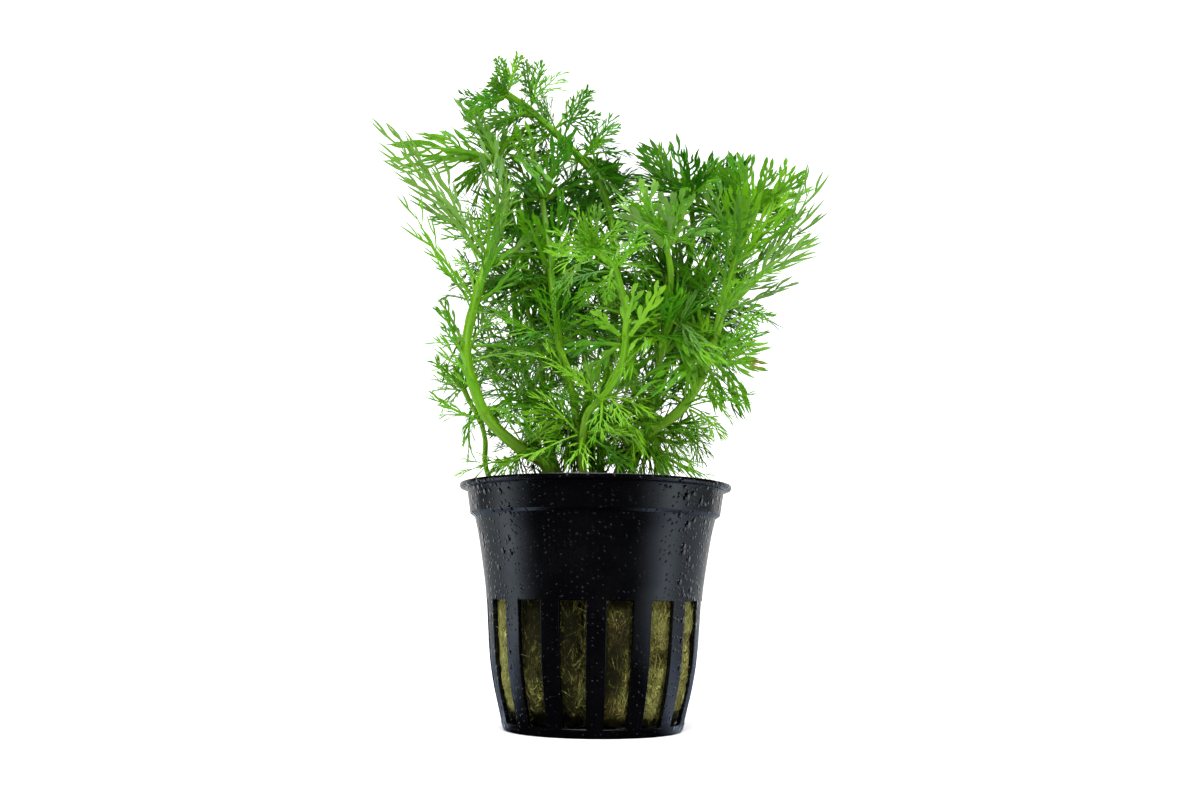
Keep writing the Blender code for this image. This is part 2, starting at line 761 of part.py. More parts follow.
def make_wool(parts):
    finish = material("mineral wool", WOOL_OLIVE, 0.95)
    wads = (
        ("wool_left", -114, -50, ((WOOL_FOOT, 0.3), (18, 0), (WOOL_TOP, 1.0))),
        ("wool_front_left", -47, -9, ((WOOL_FOOT + 1, 1.5), (18, 0.8), (WOOL_TOP, 1.5))),
        ("wool_front_right", -6, 29, ((WOOL_FOOT, 1.0), (18, 0.4), (WOOL_TOP - 1, 1.2))),
        ("wool_right", 32, 100, ((WOOL_FOOT, 0.6), (18, 0.2), (WOOL_TOP, 1.0))),
        ("wool_back", 103, 243, ((WOOL_FOOT, 0.6), (18, 0.2), (WOOL_TOP, 0.8))),
    )
    for name, first, last, levels in wads:
        wad(name, first, last, levels, finish, parts)
    core = ((0, 37.9), (6.6, 37.9), (8.6, 35.5), (8.0, 20.0), (6.4, 5.0), (4.0, WOOL_FOOT), (0, WOOL_FOOT))
    turned("wool_core", core, 10, finish, parts)


def make_stems(parts):
    finish = material("stem", STEM_GREEN, 0.4)
    for stem in STEMS:
        points, radii = stem_line(stem)
        data = bpy.data.curves.new(f"stem_{stem.name}", "CURVE")
        data.dimensions = "3D"
        data.bevel_depth = MM
        data.bevel_resolution = 1
        data.use_fill_caps = True
        spline = data.splines.new("POLY")
        spline.points.add(len(points) - 1)
        for place, point, radius in zip(spline.points, points * MM, radii, strict=True):
            place.co = (*point, 1)
            place.radius = radius
        add(f"stem_{stem.name}", data, finish, parts)


def make_leaves(parts):
    finish = material("leaf", GREEN, 0.45)
    rings, leaves = grow_leaves()
    for (stem, number), ring in rings.items():
        name = f"leaves_{stem}_{number + 1}"
        add(name, whorl_mesh(name, ring, leaves[stem, number]), finish, parts)


def main():
    for old in list(bpy.data.objects):
        bpy.data.objects.remove(old, do_unlink=True)
    parts = bpy.data.collections.new("potted_giant_ambulia")
    helpers = bpy.data.collections.new("cutters")
    for collection in (parts, helpers):
        bpy.context.scene.collection.children.link(collection)
    make_pot(parts, helpers)
    make_wool(parts)
    make_stems(parts)
    make_leaves(parts)


main()
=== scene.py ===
"""The potted giant ambulia dressed for its picture: pot, mineral wool, ribbed stems and finely divided leaves.

Blender's unit is the metre, +Z is up and the front is at -Y. Tables and sizes are in millimetres and become metres
where a mesh is made. Leaves are placed by the same rule as the solids', so that each frond lies in its solid's blade,
save those whose tips would stand well outside the plant's outline.
"""

import logging
import math
from dataclasses import dataclass, field, replace
from enum import Enum
from typing import Iterable, Iterator

import bpy
import numpy as np
from mathutils import Matrix, Vector
from mathutils.bvhtree import BVHTree


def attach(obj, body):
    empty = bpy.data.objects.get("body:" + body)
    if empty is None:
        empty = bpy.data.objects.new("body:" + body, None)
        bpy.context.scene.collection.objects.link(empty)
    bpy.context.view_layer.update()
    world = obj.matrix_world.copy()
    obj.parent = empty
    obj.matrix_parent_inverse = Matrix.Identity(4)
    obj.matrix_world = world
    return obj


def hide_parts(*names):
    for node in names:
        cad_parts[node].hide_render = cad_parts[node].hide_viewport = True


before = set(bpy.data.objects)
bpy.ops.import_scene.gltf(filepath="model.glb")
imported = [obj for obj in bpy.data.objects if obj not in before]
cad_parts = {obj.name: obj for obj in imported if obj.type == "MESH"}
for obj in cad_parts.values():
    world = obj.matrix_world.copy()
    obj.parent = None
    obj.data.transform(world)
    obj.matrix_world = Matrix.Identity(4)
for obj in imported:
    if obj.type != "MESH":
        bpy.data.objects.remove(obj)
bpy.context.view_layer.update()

LOG = logging.getLogger("potted_giant_ambulia")

Array = np.ndarray
Node, Socket, Material, Piece = bpy.types.Node, bpy.types.NodeSocket, bpy.types.Material, bpy.types.Object
Point = tuple[float, float, float]
Colour = tuple[float, float, float, float]
WhorlKey = tuple[str, int]

# How many metres a millimetre has.
MM = 0.001
# Sizes in millimetres and angles in degrees from the front, the same as the solids'.
GAP = 0.3
POT_HEIGHT = 48.4
WALL = 0.9
WAD_BORE = 9.6
RING_HEIGHT = 1.0
RING_WALL = 0.5
LEAF_THICKNESS = 0.7
LEAF_MARGIN = 0.25
LOWEST_LEAF = POT_HEIGHT + 0.9
SLOTS = 15
SLOT_HALF_ANGLE = 6.9
FIRST_BAR_ANGLE = 1.3
SLOT_FOOT = 1.8
SLOT_TOP = 25.3
# The pot's outer wall below the collar, (radius, height).
WALL_LINE = ((24.35, 41.7), (23.4, 37.5), (22.1, 29.5), (21.62, 25.3), (21.25, 20.0), (20.7, 13.5), (19.85, 8.5),
             (18.95, 4.8), (18.2, 1.8))


def unit(v: Array) -> Array:
    """Vectors over their own lengths, along the last axis."""
    return v / np.maximum(np.linalg.norm(v, axis=-1, keepdims=True), 1e-9)


def smooth_step(x: Array) -> Array:
    """3x² - 2x³ between 0 and 1, level outside them."""
    x = np.clip(x, 0, 1)
    return x * x * (3 - 2 * x)


def along(route: Iterable, t: Array | float) -> Array:
    """Points of the Catmull-Rom curve through a route: on each span, a cubic whose slope at a point is half the step
    between that point's neighbours.

    Args:
        route: the points.
        t: places on the curve, counted in route points.

    Returns:
        One point for each place.
    """
    p = np.asarray(route, float)
    p = np.vstack([2 * p[0] - p[1], p, 2 * p[-1] - p[-2]])
    t = np.clip(np.atleast_1d(np.asarray(t, float)), 0, len(p) - 3)
    i = np.minimum(t.astype(int), len(p) - 4)
    f = (t - i)[:, None]
    a, b, c, d = (p[i + k] for k in range(4))
    return 0.5 * (2 * b + (c - a) * f + (2 * a - 5 * b + 4 * c - d) * f**2 + (3 * b - a - 3 * c + d) * f**3)


def turned_about(v: Array, axis: Array, angle: float) -> Array:
    """v turned about a unit axis: v cos a + (axis x v) sin a + axis (axis . v)(1 - cos a)."""
    c, s = math.cos(angle), math.sin(angle)
    return v * c + np.cross(axis, v) * s + axis * (v @ axis) * (1 - c)


def ripples(points: Array, wavelength: float, seed: int, waves: int = 14) -> Array:
    """Smooth noise of about -1 to 1: the sum of plane waves in random directions, each of nearly one wavelength.

    Args:
        points: where it is read, in millimetres.
        wavelength: the waves' mean length in millimetres.
        seed: picks the directions and phases.
        waves: how many are summed.

    Returns:
        One value for each point.
    """
    draw = np.random.default_rng(seed)
    ways = unit(draw.normal(size=(waves, 3))) * draw.uniform(0.7, 1.4, (waves, 1)) * 2 * math.pi / wavelength
    return np.sin(points @ ways.T + draw.uniform(0, 2 * math.pi, waves)).sum(-1) * math.sqrt(2 / waves) / 1.6


def bezier(root: Array, knee: Array, tip: Array, w: Array) -> tuple[Array, Array]:
    """Quadratic Bezier curves.

    Args:
        root: where they start.
        knee: the point that they bend towards.
        tip: where they end.
        w: places from 0 to 1, in an array of a shape that goes with the points.

    Returns:
        Points, (1 - w)² root + 2w(1 - w) knee + w² tip, and unit directions, along
        (1 - w)(knee - root) + w(tip - knee).
    """
    points = (1 - w) ** 2 * root + 2 * w * (1 - w) * knee + w**2 * tip
    return points, unit((1 - w) * (knee - root) + w * (tip - knee))


def tube_faces(rows: int, columns: int) -> tuple[Array, Array]:
    """The faces of a tube of rows of points, closed at both ends by a fan to a middle point.

    Args:
        rows: how many rows, one after another.
        columns: points in a row, going round once.

    Returns:
        Quads and triangles. The middle points' numbers come after the rows': first the foot's, then the end's.
    """
    i, j = np.meshgrid(np.arange(rows - 1), np.arange(columns), indexing="ij")
    after = (j + 1) % columns
    quads = np.stack([i * columns + j, i * columns + after, (i + 1) * columns + after, (i + 1) * columns + j], -1)
    j = np.arange(columns)
    after = (j + 1) % columns
    last = (rows - 1) * columns
    foot = np.stack([np.full(columns, rows * columns), after, j], -1)
    end = np.stack([np.full(columns, rows * columns + 1), last + j, last + after], -1)
    return quads.reshape(-1, 4), np.vstack([foot, end])


def rounds(count: int) -> Array:
    """Angles that go round once in even steps."""
    return np.arange(count) * 2 * math.pi / count


class Blade(Enum):
    """The outline of a solid's leaf blade."""

    FEATHERY = "feathery"
    LOBED = "lobed"
    LONG = "long"
    SMALL = "small"


@dataclass(frozen=True)
class LeafShape:
    """A flat leaf's outline: half width as a share of its length, where its thick midrib has points, and one side's
    points (place along the leaf, share of the half width, number of the rib point that they fan from)."""

    half_width: float
    rib: tuple[float, ...]
    side: tuple[tuple[float, float, int], ...]


SHAPES = {
    Blade.FEATHERY: LeafShape(0.27, (0.40,), ((0.54, 1.0, 0), (0.56, 0.40, 0), (0.86, 0.68, 0))),
    Blade.LOBED: LeafShape(0.23, (0.40,), ((0.58, 1.0, 0), (0.60, 0.48, 0), (0.88, 0.78, 0))),
    Blade.LONG: LeafShape(0.11, (0.42,), ((0.62, 1.0, 0), (0.66, 0.5, 0))),
    Blade.SMALL: LeafShape(0.26, (0.42,), ((0.64, 1.0, 0), (0.62, 0.42, 0))),
}


@dataclass(frozen=True)
class Whorl:
    """The leaves at one node: its place on the stem, in route points, their length, their lift in degrees, how many are
    placed by rule, the tips of those that are aimed, and the outline of their solids."""

    at: float
    length: float
    lift: float
    more: int
    aimed: tuple[Point, ...] = ()
    blade: Blade = Blade.FEATHERY


@dataclass(frozen=True)
class Stem:
    """One shoot: radii at foot and tip, the points that its centreline passes, and its whorls, the last its crown."""

    name: str
    foot: float
    tip: float
    route: tuple[Point, ...]
    whorls: tuple[Whorl, ...]


STEMS = (
    Stem("left", 1.2, 0.8, (
        (-7, -2, 38.5), (-9.5, -5, 51), (-14.5, -8, 54.5), (-19, -10, 58), (-22, -11, 61.5), (-24, -11, 66),
        (-25.5, -11, 71), (-26, -11, 75), (-25.5, -10, 80), (-24.5, -9, 85), (-22.5, -7, 94), (-20.5, -5, 100.5),
        (-19.5, -3, 107.5), (-20, -2, 113), (-21.5, -1, 117.5),
    ), (
        Whorl(2, 10, 10, 3, ((-21.5, -13, 51.5), (-17.5, -15, 50.5), (-8, -12, 59))),
        Whorl(4, 12, 20, 3, ((-31, -14, 76.5), (-32, -14, 64.5), (-14.5, -6, 66), (-13, -14, 57.5))),
        Whorl(7, 14, 25, 4, ((-12.5, -8, 74.5), (-34, -4, 79.5), (-30, -17, 82))),
        Whorl(9, 15, 35, 4, ((-38, -12, 104), (-34.5, -14, 96), (-15.5, -16, 91))),
        Whorl(10, 17, 45, 2, (
            (-42.5, -9, 119.5), (-39, -15, 110.5), (-22.5, -14, 115), (-32, -3, 113), (-13, -12, 98),
        ), Blade.LONG),
        Whorl(14, 13, 35, 3, (
            (-42, -2, 118), (-37, -7, 117.5), (-33.5, 4, 124), (-28, -4, 128), (-12, -6, 111),
        ), Blade.LOBED),
    )),
    Stem("far_left", 0.55, 0.5, (
        (-17.5, 1.5, 41.7), (-22.5, 3, 51.5), (-23, 3, 57.5), (-24, 3, 61.5), (-26.5, 4, 66), (-28, 4, 69),
    ), (
        Whorl(5, 11, 15, 6, ((-34, 6, 75.5), (-29.5, 2, 79.5))),
    )),
    Stem("inner_left", 0.7, 0.5, (
        (-5, 0, 38.5), (-7.5, -1, 51), (-12, -2, 55), (-14, -1, 60), (-14.5, 0, 65), (-13.5, 1, 68.5), (-11.5, 2, 73),
        (-9.5, 3, 76), (-6.5, 5, 81), (-4, 7, 88), (-3.5, 8, 92.5),
    ), (
        Whorl(4.5, 15, 15, 8),
        Whorl(10, 15, 35, 8),
    )),
    Stem("slender", 0.5, 0.45, (
        (-6.5, 5, 38.5), (-9, 5, 56), (-10, 5, 64), (-11, 5, 68), (-11.5, 5, 73), (-13, 6, 80), (-15, 7, 86.5),
        (-16, 7, 91.5),
    ), (
        Whorl(7, 14, 30, 8),
    )),
    Stem("centre", 0.9, 0.6, (
        (-1.5, -3, 38.5), (-3, -4, 54), (-4, -5, 60), (-4.5, -5, 64.5), (-6, -5, 70.5), (-7.5, -5, 76),
        (-8.5, -5, 83), (-9.5, -4, 89.5), (-10, -3, 96), (-11, -2, 102.5), (-12, 0, 109),
    ), (
        Whorl(2.2, 14, 10, 7, ((-13, -16, 60),)),
        Whorl(5.2, 15, 25, 8),
        Whorl(7.5, 15, 35, 7, ((-14, -16, 100),), Blade.LOBED),
        Whorl(10, 14, 40, 8, blade=Blade.LOBED),
    )),
    Stem("front", 0.75, 0.65, (
        (-1, -6, 38.5), (-2.5, -11, 51.5), (-2.5, -15, 57), (-1.5, -17, 61), (1, -18, 63.5), (3.5, -19, 67),
        (5, -20, 71), (5.5, -20, 75.5), (5.5, -20, 80), (4.5, -21, 84.5), (3, -22, 88.5), (1, -24, 90),
        (-0.5, -26, 91),
    ), (
        Whorl(2, 11, 5, 6),
        Whorl(4, 11, 15, 5, ((0.5, -24, 56), (-5, -22, 68))),
        Whorl(7, 11, 25, 4, ((7, -26, 82.5), (11.5, -24, 84), (0, -24, 79)), Blade.LOBED),
        Whorl(10, 10, 30, 4, ((8.5, -22, 96.5), (2, -24, 81.5))),
        Whorl(12, 8, 40, 2, (
            (-4, -28, 97), (-7.5, -30, 93), (-8.5, -32, 88.5), (-6.5, -31, 84), (-0.5, -27, 98), (4, -26, 96),
        )),
    )),
    Stem("right", 1.1, 0.75, (
        (3.5, -2, 38.5), (5, -4, 51.5), (9, -6, 57), (12, -7, 59.5), (15, -8, 61.5), (17.5, -8, 64), (19.5, -8, 67),
        (21.5, -8, 71), (22.5, -8, 75), (24, -7, 79), (25.5, -6, 85), (27, -5, 90), (28.5, -4, 95.5), (31, -3, 101.5),
        (33, -2, 107),
    ), (
        Whorl(2, 13, 5, 8),
        Whorl(5, 12, 10, 4, ((25, -8, 58.5), (10.5, -14, 66), (20.5, -2, 54))),
        Whorl(7.5, 13, 25, 4, ((32, -10, 72), (29, -6, 65.5), (11.5, -18, 66), (32.5, -3, 77)), Blade.LOBED),
        Whorl(10, 17, 40, 3, ((44.5, -4, 112), (38.5, -4, 90), (42.5, -8, 98), (44, 2, 105)), Blade.LONG),
        Whorl(12, 14, 35, 5, ((42, 4, 108), (36, -12, 106)), Blade.LOBED),
        Whorl(14, 11, 40, 2, (
            (28.5, -4, 117), (32, 2, 118), (34.5, -8, 116), (40, 0, 117), (42, -6, 112.5), (43, 4, 113),
        ), Blade.LOBED),
    )),
    Stem("top", 0.9, 0.7, (
        (1, 4, 38.5), (1, 6, 56.5), (1.5, 8, 67.5), (3, 9, 79.5), (4, 9, 91.5), (3.5, 8, 102.5), (1.5, 6, 111),
        (-1, 4, 115.5), (-4, 3, 119), (-7, 2, 122), (-10, 1, 124.5), (-13.5, 0, 127.5), (-17, -1, 130),
        (-20, -2, 131.5),
    ), (
        Whorl(8, 12, 30, 4, ((3.5, 2, 126), (0.5, -5, 120), (3, 10, 131))),
        Whorl(10, 12, 30, 4, ((-2, 0, 133), (-0.5, 5, 129.5), (-18.5, -4, 119))),
        Whorl(11.5, 11, 30, 4, ((-13, 0, 139), (-8.5, 5, 139.5), (-26, -2, 124))),
        Whorl(13, 9, 40, 3, (
            (-29, -3, 133), (-27, -8, 126), (-22, -3, 139), (-17, -7, 138), (-16.5, 3, 138),
        )),
    )),
    Stem("right_inner", 0.8, 0.6, (
        (5, 2, 38.5), (8, 1, 54.5), (10.5, -2, 62.5), (12.5, -7, 72.5), (14, -11, 81.5), (14.5, -13, 89.5),
        (13.5, -14, 95.5),
    ), (
        Whorl(2, 14, 10, 8),
        Whorl(3.6, 14, 25, 8),
        Whorl(6, 13, 35, 3, (
            (9.5, -17, 107), (6, -20, 100), (13, -19, 104), (17, -17, 104), (22, -17, 99),
        ), Blade.LOBED),
    )),
    Stem("right_tall", 0.8, 0.6, (
        (4.5, 5, 38.5), (9, 8, 58), (13.5, 10, 70), (17.5, 10, 84.5), (19.5, 9, 96.5), (20.5, 8, 105.5),
        (19.5, 7, 112),
    ), (
        Whorl(3.2, 17, 20, 7),
        Whorl(6, 14, 45, 4, ((14, 6, 126), (25.5, 6, 122.5), (11, 2, 121), (22, 0, 116)), Blade.LOBED),
    )),
    Stem("right_back", 0.8, 0.6, (
        (2, 8, 38.5), (7.5, 15, 60), (15, 19, 76), (21.5, 20, 91), (25.5, 18, 103), (27.5, 16, 110.5),
    ), (
        Whorl(2.6, 17, 20, 7),
        Whorl(5, 14, 40, 6, ((24.5, 14, 122.5), (29.5, 13, 121.5)), Blade.LOBED),
    )),
    Stem("left_back", 0.8, 0.6, (
        (-3.5, 7, 38.5), (-10, 13, 58), (-15, 17, 72), (-18, 18, 85.5), (-19, 17, 97.5), (-17.5, 16, 106.5),
    ), (
        Whorl(2.6, 17, 20, 7),
        Whorl(5, 14, 40, 7, blade=Blade.LOBED),
    )),
    Stem("back", 0.8, 0.6, (
        (-0.5, 9, 38.5), (-1, 16, 60), (-2.5, 21, 76), (-4, 23, 91.5), (-4.5, 22, 103.5), (-3.5, 20, 111.5),
    ), (
        Whorl(2.6, 17, 20, 7),
        Whorl(5, 14, 40, 7, blade=Blade.LOBED),
    )),
)


def heading(route: tuple[Point, ...], t: float) -> Array:
    """The curve's direction at a place: the step from 0.1 before it to 0.1 after it."""
    return unit(along(route, t + 0.1) - along(route, t - 0.1))[0]


def radius_at(stem: Stem, t: float) -> float:
    """A stem's radius at a place, straight from foot to tip."""
    return stem.foot + (stem.tip - stem.foot) * t / (len(stem.route) - 1)


@dataclass(frozen=True)
class Ring:
    """The collar of a whorl round its stem: its centre, its axis along the stem, the direction that its faces count
    from, the radius to its corners and its number of faces. A crown's is closed, because the stem ends in it."""

    centre: Array
    axis: Array
    across: Array
    outer: float
    faces: int
    closed: bool

    def outward(self, angle: float) -> Array:
        """The unit direction from the axis at an angle."""
        return math.cos(angle) * self.across + math.sin(angle) * np.cross(self.axis, self.across)

    def corners(self, face: int) -> Array:
        """The corners of an outer face: two on top, then two at the foot, so that they go round it.

        Args:
            face: the face's number, counted round the ring.

        Returns:
            Four points.
        """
        half = self.axis * RING_HEIGHT / 2
        near, far = (self.outer * self.outward(2 * math.pi * (face + k) / self.faces) for k in (0, 1))
        return self.centre + np.array([half + near, half + far, far - half, near - half])

    def face_angle(self, face: int) -> float:
        """The angle of a face's middle."""
        return 2 * math.pi * (face + 0.5) / self.faces

    def face_centre(self, face: int) -> Array:
        """The middle of a face."""
        return self.centre + self.outer * math.cos(math.pi / self.faces) * self.outward(self.face_angle(face))


def ring_of(stem: Stem, whorl: Whorl, number: int) -> Ring:
    """The ring of a whorl: it has a face for each leaf, at least six, and is turned with its number.

    Args:
        stem: the stem that it is on.
        whorl: its row of the table.
        number: its place in that table.

    Returns:
        The ring.
    """
    centre, axis = along(stem.route, whorl.at)[0], heading(stem.route, whorl.at)
    across = unit(np.cross(axis, [0.0, 1.0, 0.0] if abs(axis[1]) < 0.9 else [1.0, 0.0, 0.0]))
    faces = max(6, whorl.more + len(whorl.aimed))
    across = turned_about(across, axis, number * math.pi / faces)
    inner = (radius_at(stem, whorl.at) + GAP) / math.cos(math.pi / faces)
    return Ring(centre, axis, across, inner + RING_WALL, faces, whorl is stem.whorls[-1])


@dataclass(frozen=True)
class Leaf:
    """One leaf: the ring face it grows from with that face's corners, the start, knee and tip of its bent midrib,
    and its blade's sideways direction at the root and beyond."""

    face: int
    shape: LeafShape
    corners: Array
    start: Array
    knee: Array
    tip: Array
    root_side: Array
    side: Array

    def midrib(self, u: Iterable[float]) -> tuple[Array, Array, Array]:
        """The quadratic Bezier midrib, with a blade that turns from its root's sideways direction to its own.

        Args:
            u: places from 0 to 1.

        Returns:
            Points, directions and sideways directions.
        """
        u = np.asarray(u, float)[:, None]
        points, ahead = bezier(self.start, self.knee, self.tip, u)
        turned = smooth_step(u / 0.3)
        sideways = self.root_side * (1 - turned) + self.side * turned
        sideways = unit(sideways - ahead * (sideways * ahead).sum(1, keepdims=True))
        return points, ahead, sideways

    def solid(self, margin: float = 0.0) -> tuple[Array, list[tuple[int, int, int]]]:
        """The faceted blade, open at its root: the corners, rib top, rib foot, left, right, tip.

        Args:
            margin: how much thicker it is all round; its root then stands a little off the ring.

        Returns:
            Points and triangles.
        """
        shape = self.shape
        width = np.linalg.norm(self.tip - self.start) * shape.half_width
        rib, ahead, sideways = self.midrib(shape.rib)
        lift = np.cross(ahead, sideways) * (LEAF_THICKNESS / 2 * np.linspace(1, 0.7, len(rib))[:, None] + margin)
        places, shares, fans = (list(column) for column in zip(*shape.side, strict=True))
        edge, _, spread = self.midrib(places)
        spread = spread * (np.array(shares)[:, None] * width + margin)
        tip, forward, _ = self.midrib([1.0])
        corners = self.corners + (rib[0] - self.corners) * (0.15 if margin else 0.0)
        points = np.vstack([corners, rib + lift, rib - lift, edge - spread, edge + spread, tip + forward * margin])
        ribs, sides, end = len(rib), len(places), len(points) - 1
        left, right = 4 + 2 * ribs, 4 + 2 * ribs + sides
        loop = (0, 4, 1, right, 2, 4 + ribs, 3, left)
        faces = []
        for i in range(0, 8, 2):
            faces.append((loop[i], loop[i + 1], loop[(i + 2) % 8]))
            faces.append((loop[i + 1], loop[(i + 2) % 8], loop[(i + 3) % 8]))
        for skin, first in ((4, left), (4, right), (4 + ribs, left), (4 + ribs, right)):
            for j in range(sides):
                here = skin + fans[j]
                if j == sides - 1:
                    faces.append((here, first + j, end))
                    break
                onward = skin + fans[j + 1]
                if onward != here:
                    faces.append((here, first + j, onward))
                faces.append((onward, first + j, first + j + 1))
        return points, faces


def aimed_leaves(ring: Ring, whorl: Whorl, face: int, tip: Point) -> Iterator[Leaf]:
    """The leaf that ends at a tip, then the same leaf a little nearer or farther, for want of room.

    Args:
        ring: the ring that it grows from.
        whorl: its row of the table.
        face: the ring's face.
        tip: where it ends.

    Yields:
        Leaves, the wished one first.
    """
    tip = np.asarray(tip, float)
    start = ring.face_centre(face)
    root = ring.outward(ring.face_angle(face))
    for depth in (0, -1.5, 1.5, -3, 3, -5, 5, -7, 7, -9, 9):
        for turn in (0, 30, -30, 60):
            end = tip + [0, depth, 0]
            chord = end - start
            reach = np.linalg.norm(chord)
            knee = start + unit(0.6 * root + 0.25 * ring.axis + 0.9 * chord / reach) * reach * 0.45
            root_side = np.cross(ring.axis, root)
            side = unit(np.cross(chord, [0.0, -1.0, 0.0]))
            side = side if side @ root_side > 0 else -side
            side = turned_about(unit(side + 0.5 * root_side), unit(chord), math.radians(turn))
            yield Leaf(face, SHAPES[whorl.blade], ring.corners(face), start, knee, end, root_side, side)


def free_leaves(ring: Ring, whorl: Whorl, face: int, draw: np.random.Generator) -> Iterator[Leaf]:
    """A leaf that leaves its node at the whorl's lift and sags a little, then others turned, raised or shorter.

    Args:
        ring: the ring that it grows from.
        whorl: its row of the table.
        face: the ring's face.
        draw: random numbers.

    Yields:
        Leaves, the wished one first.
    """
    start = ring.face_centre(face)
    length = whorl.length * draw.uniform(0.85, 1.12)
    lift = whorl.lift + (14 if face % 2 else -10) + draw.uniform(-8, 8)
    roll = draw.uniform(-40, 40)
    sag = draw.uniform(0.05, 0.35)
    for shorter in (1.0, 0.85, 0.7, 0.55):
        for swing in (0, 10, -10, 18, -18, 25, -25):
            for rise in (0, 15, -15, 28):
                root = ring.outward(ring.face_angle(face) + math.radians(swing))
                angle = math.radians(min(lift + rise, 75))
                ahead = root * math.cos(angle) + ring.axis * math.sin(angle)
                reach = length * shorter
                knee = start + ahead * reach * 0.5
                end = start + unit(ahead - [0, 0, sag]) * reach
                root_side = np.cross(ring.axis, root)
                side = turned_about(root_side, ahead, math.radians(roll))
                yield Leaf(face, SHAPES[Blade.SMALL], ring.corners(face), start, knee, end, root_side, side)


class Thicket:
    """What already stands: each piece's faces with the box round them, so that a new leaf can be kept clear."""

    def __init__(self) -> None:
        """Nothing stands yet."""
        self.pieces: list[tuple[Array, Array, BVHTree]] = []

    def add(self, points: Array, faces: Iterable[Iterable[int]]) -> None:
        """Adds a piece's faces."""
        tree = BVHTree.FromPolygons([Vector(p) for p in points], faces)
        self.pieces.append((points.min(0), points.max(0), tree))

    def is_clear(self, leaf: Leaf) -> bool:
        """Whether a leaf with its margin touches nothing and stays above the pot.

        Args:
            leaf: the leaf that looks for room.

        Returns:
            True where it has room.
        """
        points, faces = leaf.solid(LEAF_MARGIN)
        low, high = points.min(0), points.max(0)
        if low[2] < LOWEST_LEAF:
            return False
        near = [tree for least, most, tree in self.pieces if (least < high).all() and (most > low).all()]
        if not near:
            return True
        own = BVHTree.FromPolygons([Vector(p) for p in points], faces)
        return not any(own.overlap(tree) for tree in near)


def tube(points: Array, radii: Array, sides: int = 8) -> tuple[Array, list[list[int]]]:
    """A plain tube, open at its ends, which stands for a stem while leaves find room.

    Args:
        points: its centreline.
        radii: its radius at each of them.
        sides: how many faces go round.

    Returns:
        Points and faces.
    """
    ahead = unit(np.gradient(points, axis=0))
    across = unit(np.cross(ahead, [0.0, 1.0, 0.0]))
    up = np.cross(ahead, across)
    rings = [points + radii[:, None] * (across * math.cos(a) + up * math.sin(a)) for a in rounds(sides)]
    return np.stack(rings, 1).reshape(-1, 3), tube_faces(len(points), sides)[0].tolist()


def stem_places(stem: Stem) -> Array:
    """Places along the route where the stem's solid has its rings of points: its ends, its nodes and halfway.

    Args:
        stem: the stem.

    Returns:
        The places, counted in points of the route.
    """
    last = len(stem.route) - 1
    marks = sorted({0.0, 1.0, *(float(w.at) for w in stem.whorls)})
    line = along(stem.route, np.linspace(0, last, 20 * last + 1))
    lengths = np.concatenate([[0], np.cumsum(np.linalg.norm(np.diff(line, axis=0), axis=1))])
    places = [0.0]
    for a, b in zip(marks, marks[1:], strict=False):
        span = np.interp([a, b], np.linspace(0, last, 20 * last + 1), lengths)
        cuts = max(1, round(float(span[1] - span[0]) / 10.0))
        places += [a + (b - a) * (k + 1) / cuts for k in range(cuts)]
    return np.array(places)


def stem_line(stem: Stem) -> tuple[Array, Array]:
    """Centreline points and radii of a stem's solid. Its top stops short of the crown that sits on it.

    Args:
        stem: the stem.

    Returns:
        The points and their radii.
    """
    places = stem_places(stem)
    points = along(stem.route, places)
    back = unit(points[-2] - points[-1])
    points[-1] += back * (RING_HEIGHT / 2 + GAP)
    return points, np.array([radius_at(stem, t) for t in places])


def grow_leaves() -> tuple[dict[WhorlKey, Ring], dict[WhorlKey, list[Leaf]]]:
    """Every ring and its leaves, by stem and whorl. Aimed leaves find room first, then the rest in turn.

    Returns:
        The rings, and the leaves that each of them bears.
    """
    thicket = Thicket()
    nodes = [((stem.name, number), stem, whorl) for stem in STEMS for number, whorl in enumerate(stem.whorls)]
    rings = {key: ring_of(stem, whorl, key[1]) for key, stem, whorl in nodes}
    leaves = {key: [] for key in rings}
    for stem in STEMS:
        points, radii = stem_line(stem)
        thicket.add(*tube(points, radii + 0.15))
    for ring in rings.values():
        half = ring.axis * RING_HEIGHT / 2
        thicket.add(*tube(np.array([ring.centre - half, ring.centre + half]), np.full(2, ring.outer)))
    for key, _, whorl in nodes:
        for tip in whorl.aimed:
            faces = faces_towards(rings[key], leaves[key], tip)[:3]
            tries = (leaf for face in faces for leaf in aimed_leaves(rings[key], whorl, face, tip))
            grow_one(thicket, leaves[key], tries)
    draw = np.random.default_rng(7)
    for key, _, whorl in nodes:
        for _ in range(whorl.more):
            faces = free_faces(rings[key], leaves[key])
            tries = (leaf for face in faces for leaf in free_leaves(rings[key], whorl, face, draw))
            grow_one(thicket, leaves[key], tries)
    return rings, leaves


def free_faces(ring: Ring, grown: list[Leaf]) -> list[int]:
    """The ring's faces that bear no leaf yet, those farthest from the leaves that it has first.

    Args:
        ring: the ring.
        grown: the leaves that it has.

    Returns:
        The faces' numbers.
    """
    taken = [leaf.face for leaf in grown]
    free = [face for face in range(ring.faces) if face not in taken]
    return sorted(free, key=lambda face: -min((turns_between(ring, face, other) for other in taken), default=0))


def turns_between(ring: Ring, face: int, other: int) -> int:
    """How many faces apart two faces of a ring are, the shorter way round."""
    apart = abs(face - other)
    return min(apart, ring.faces - apart)


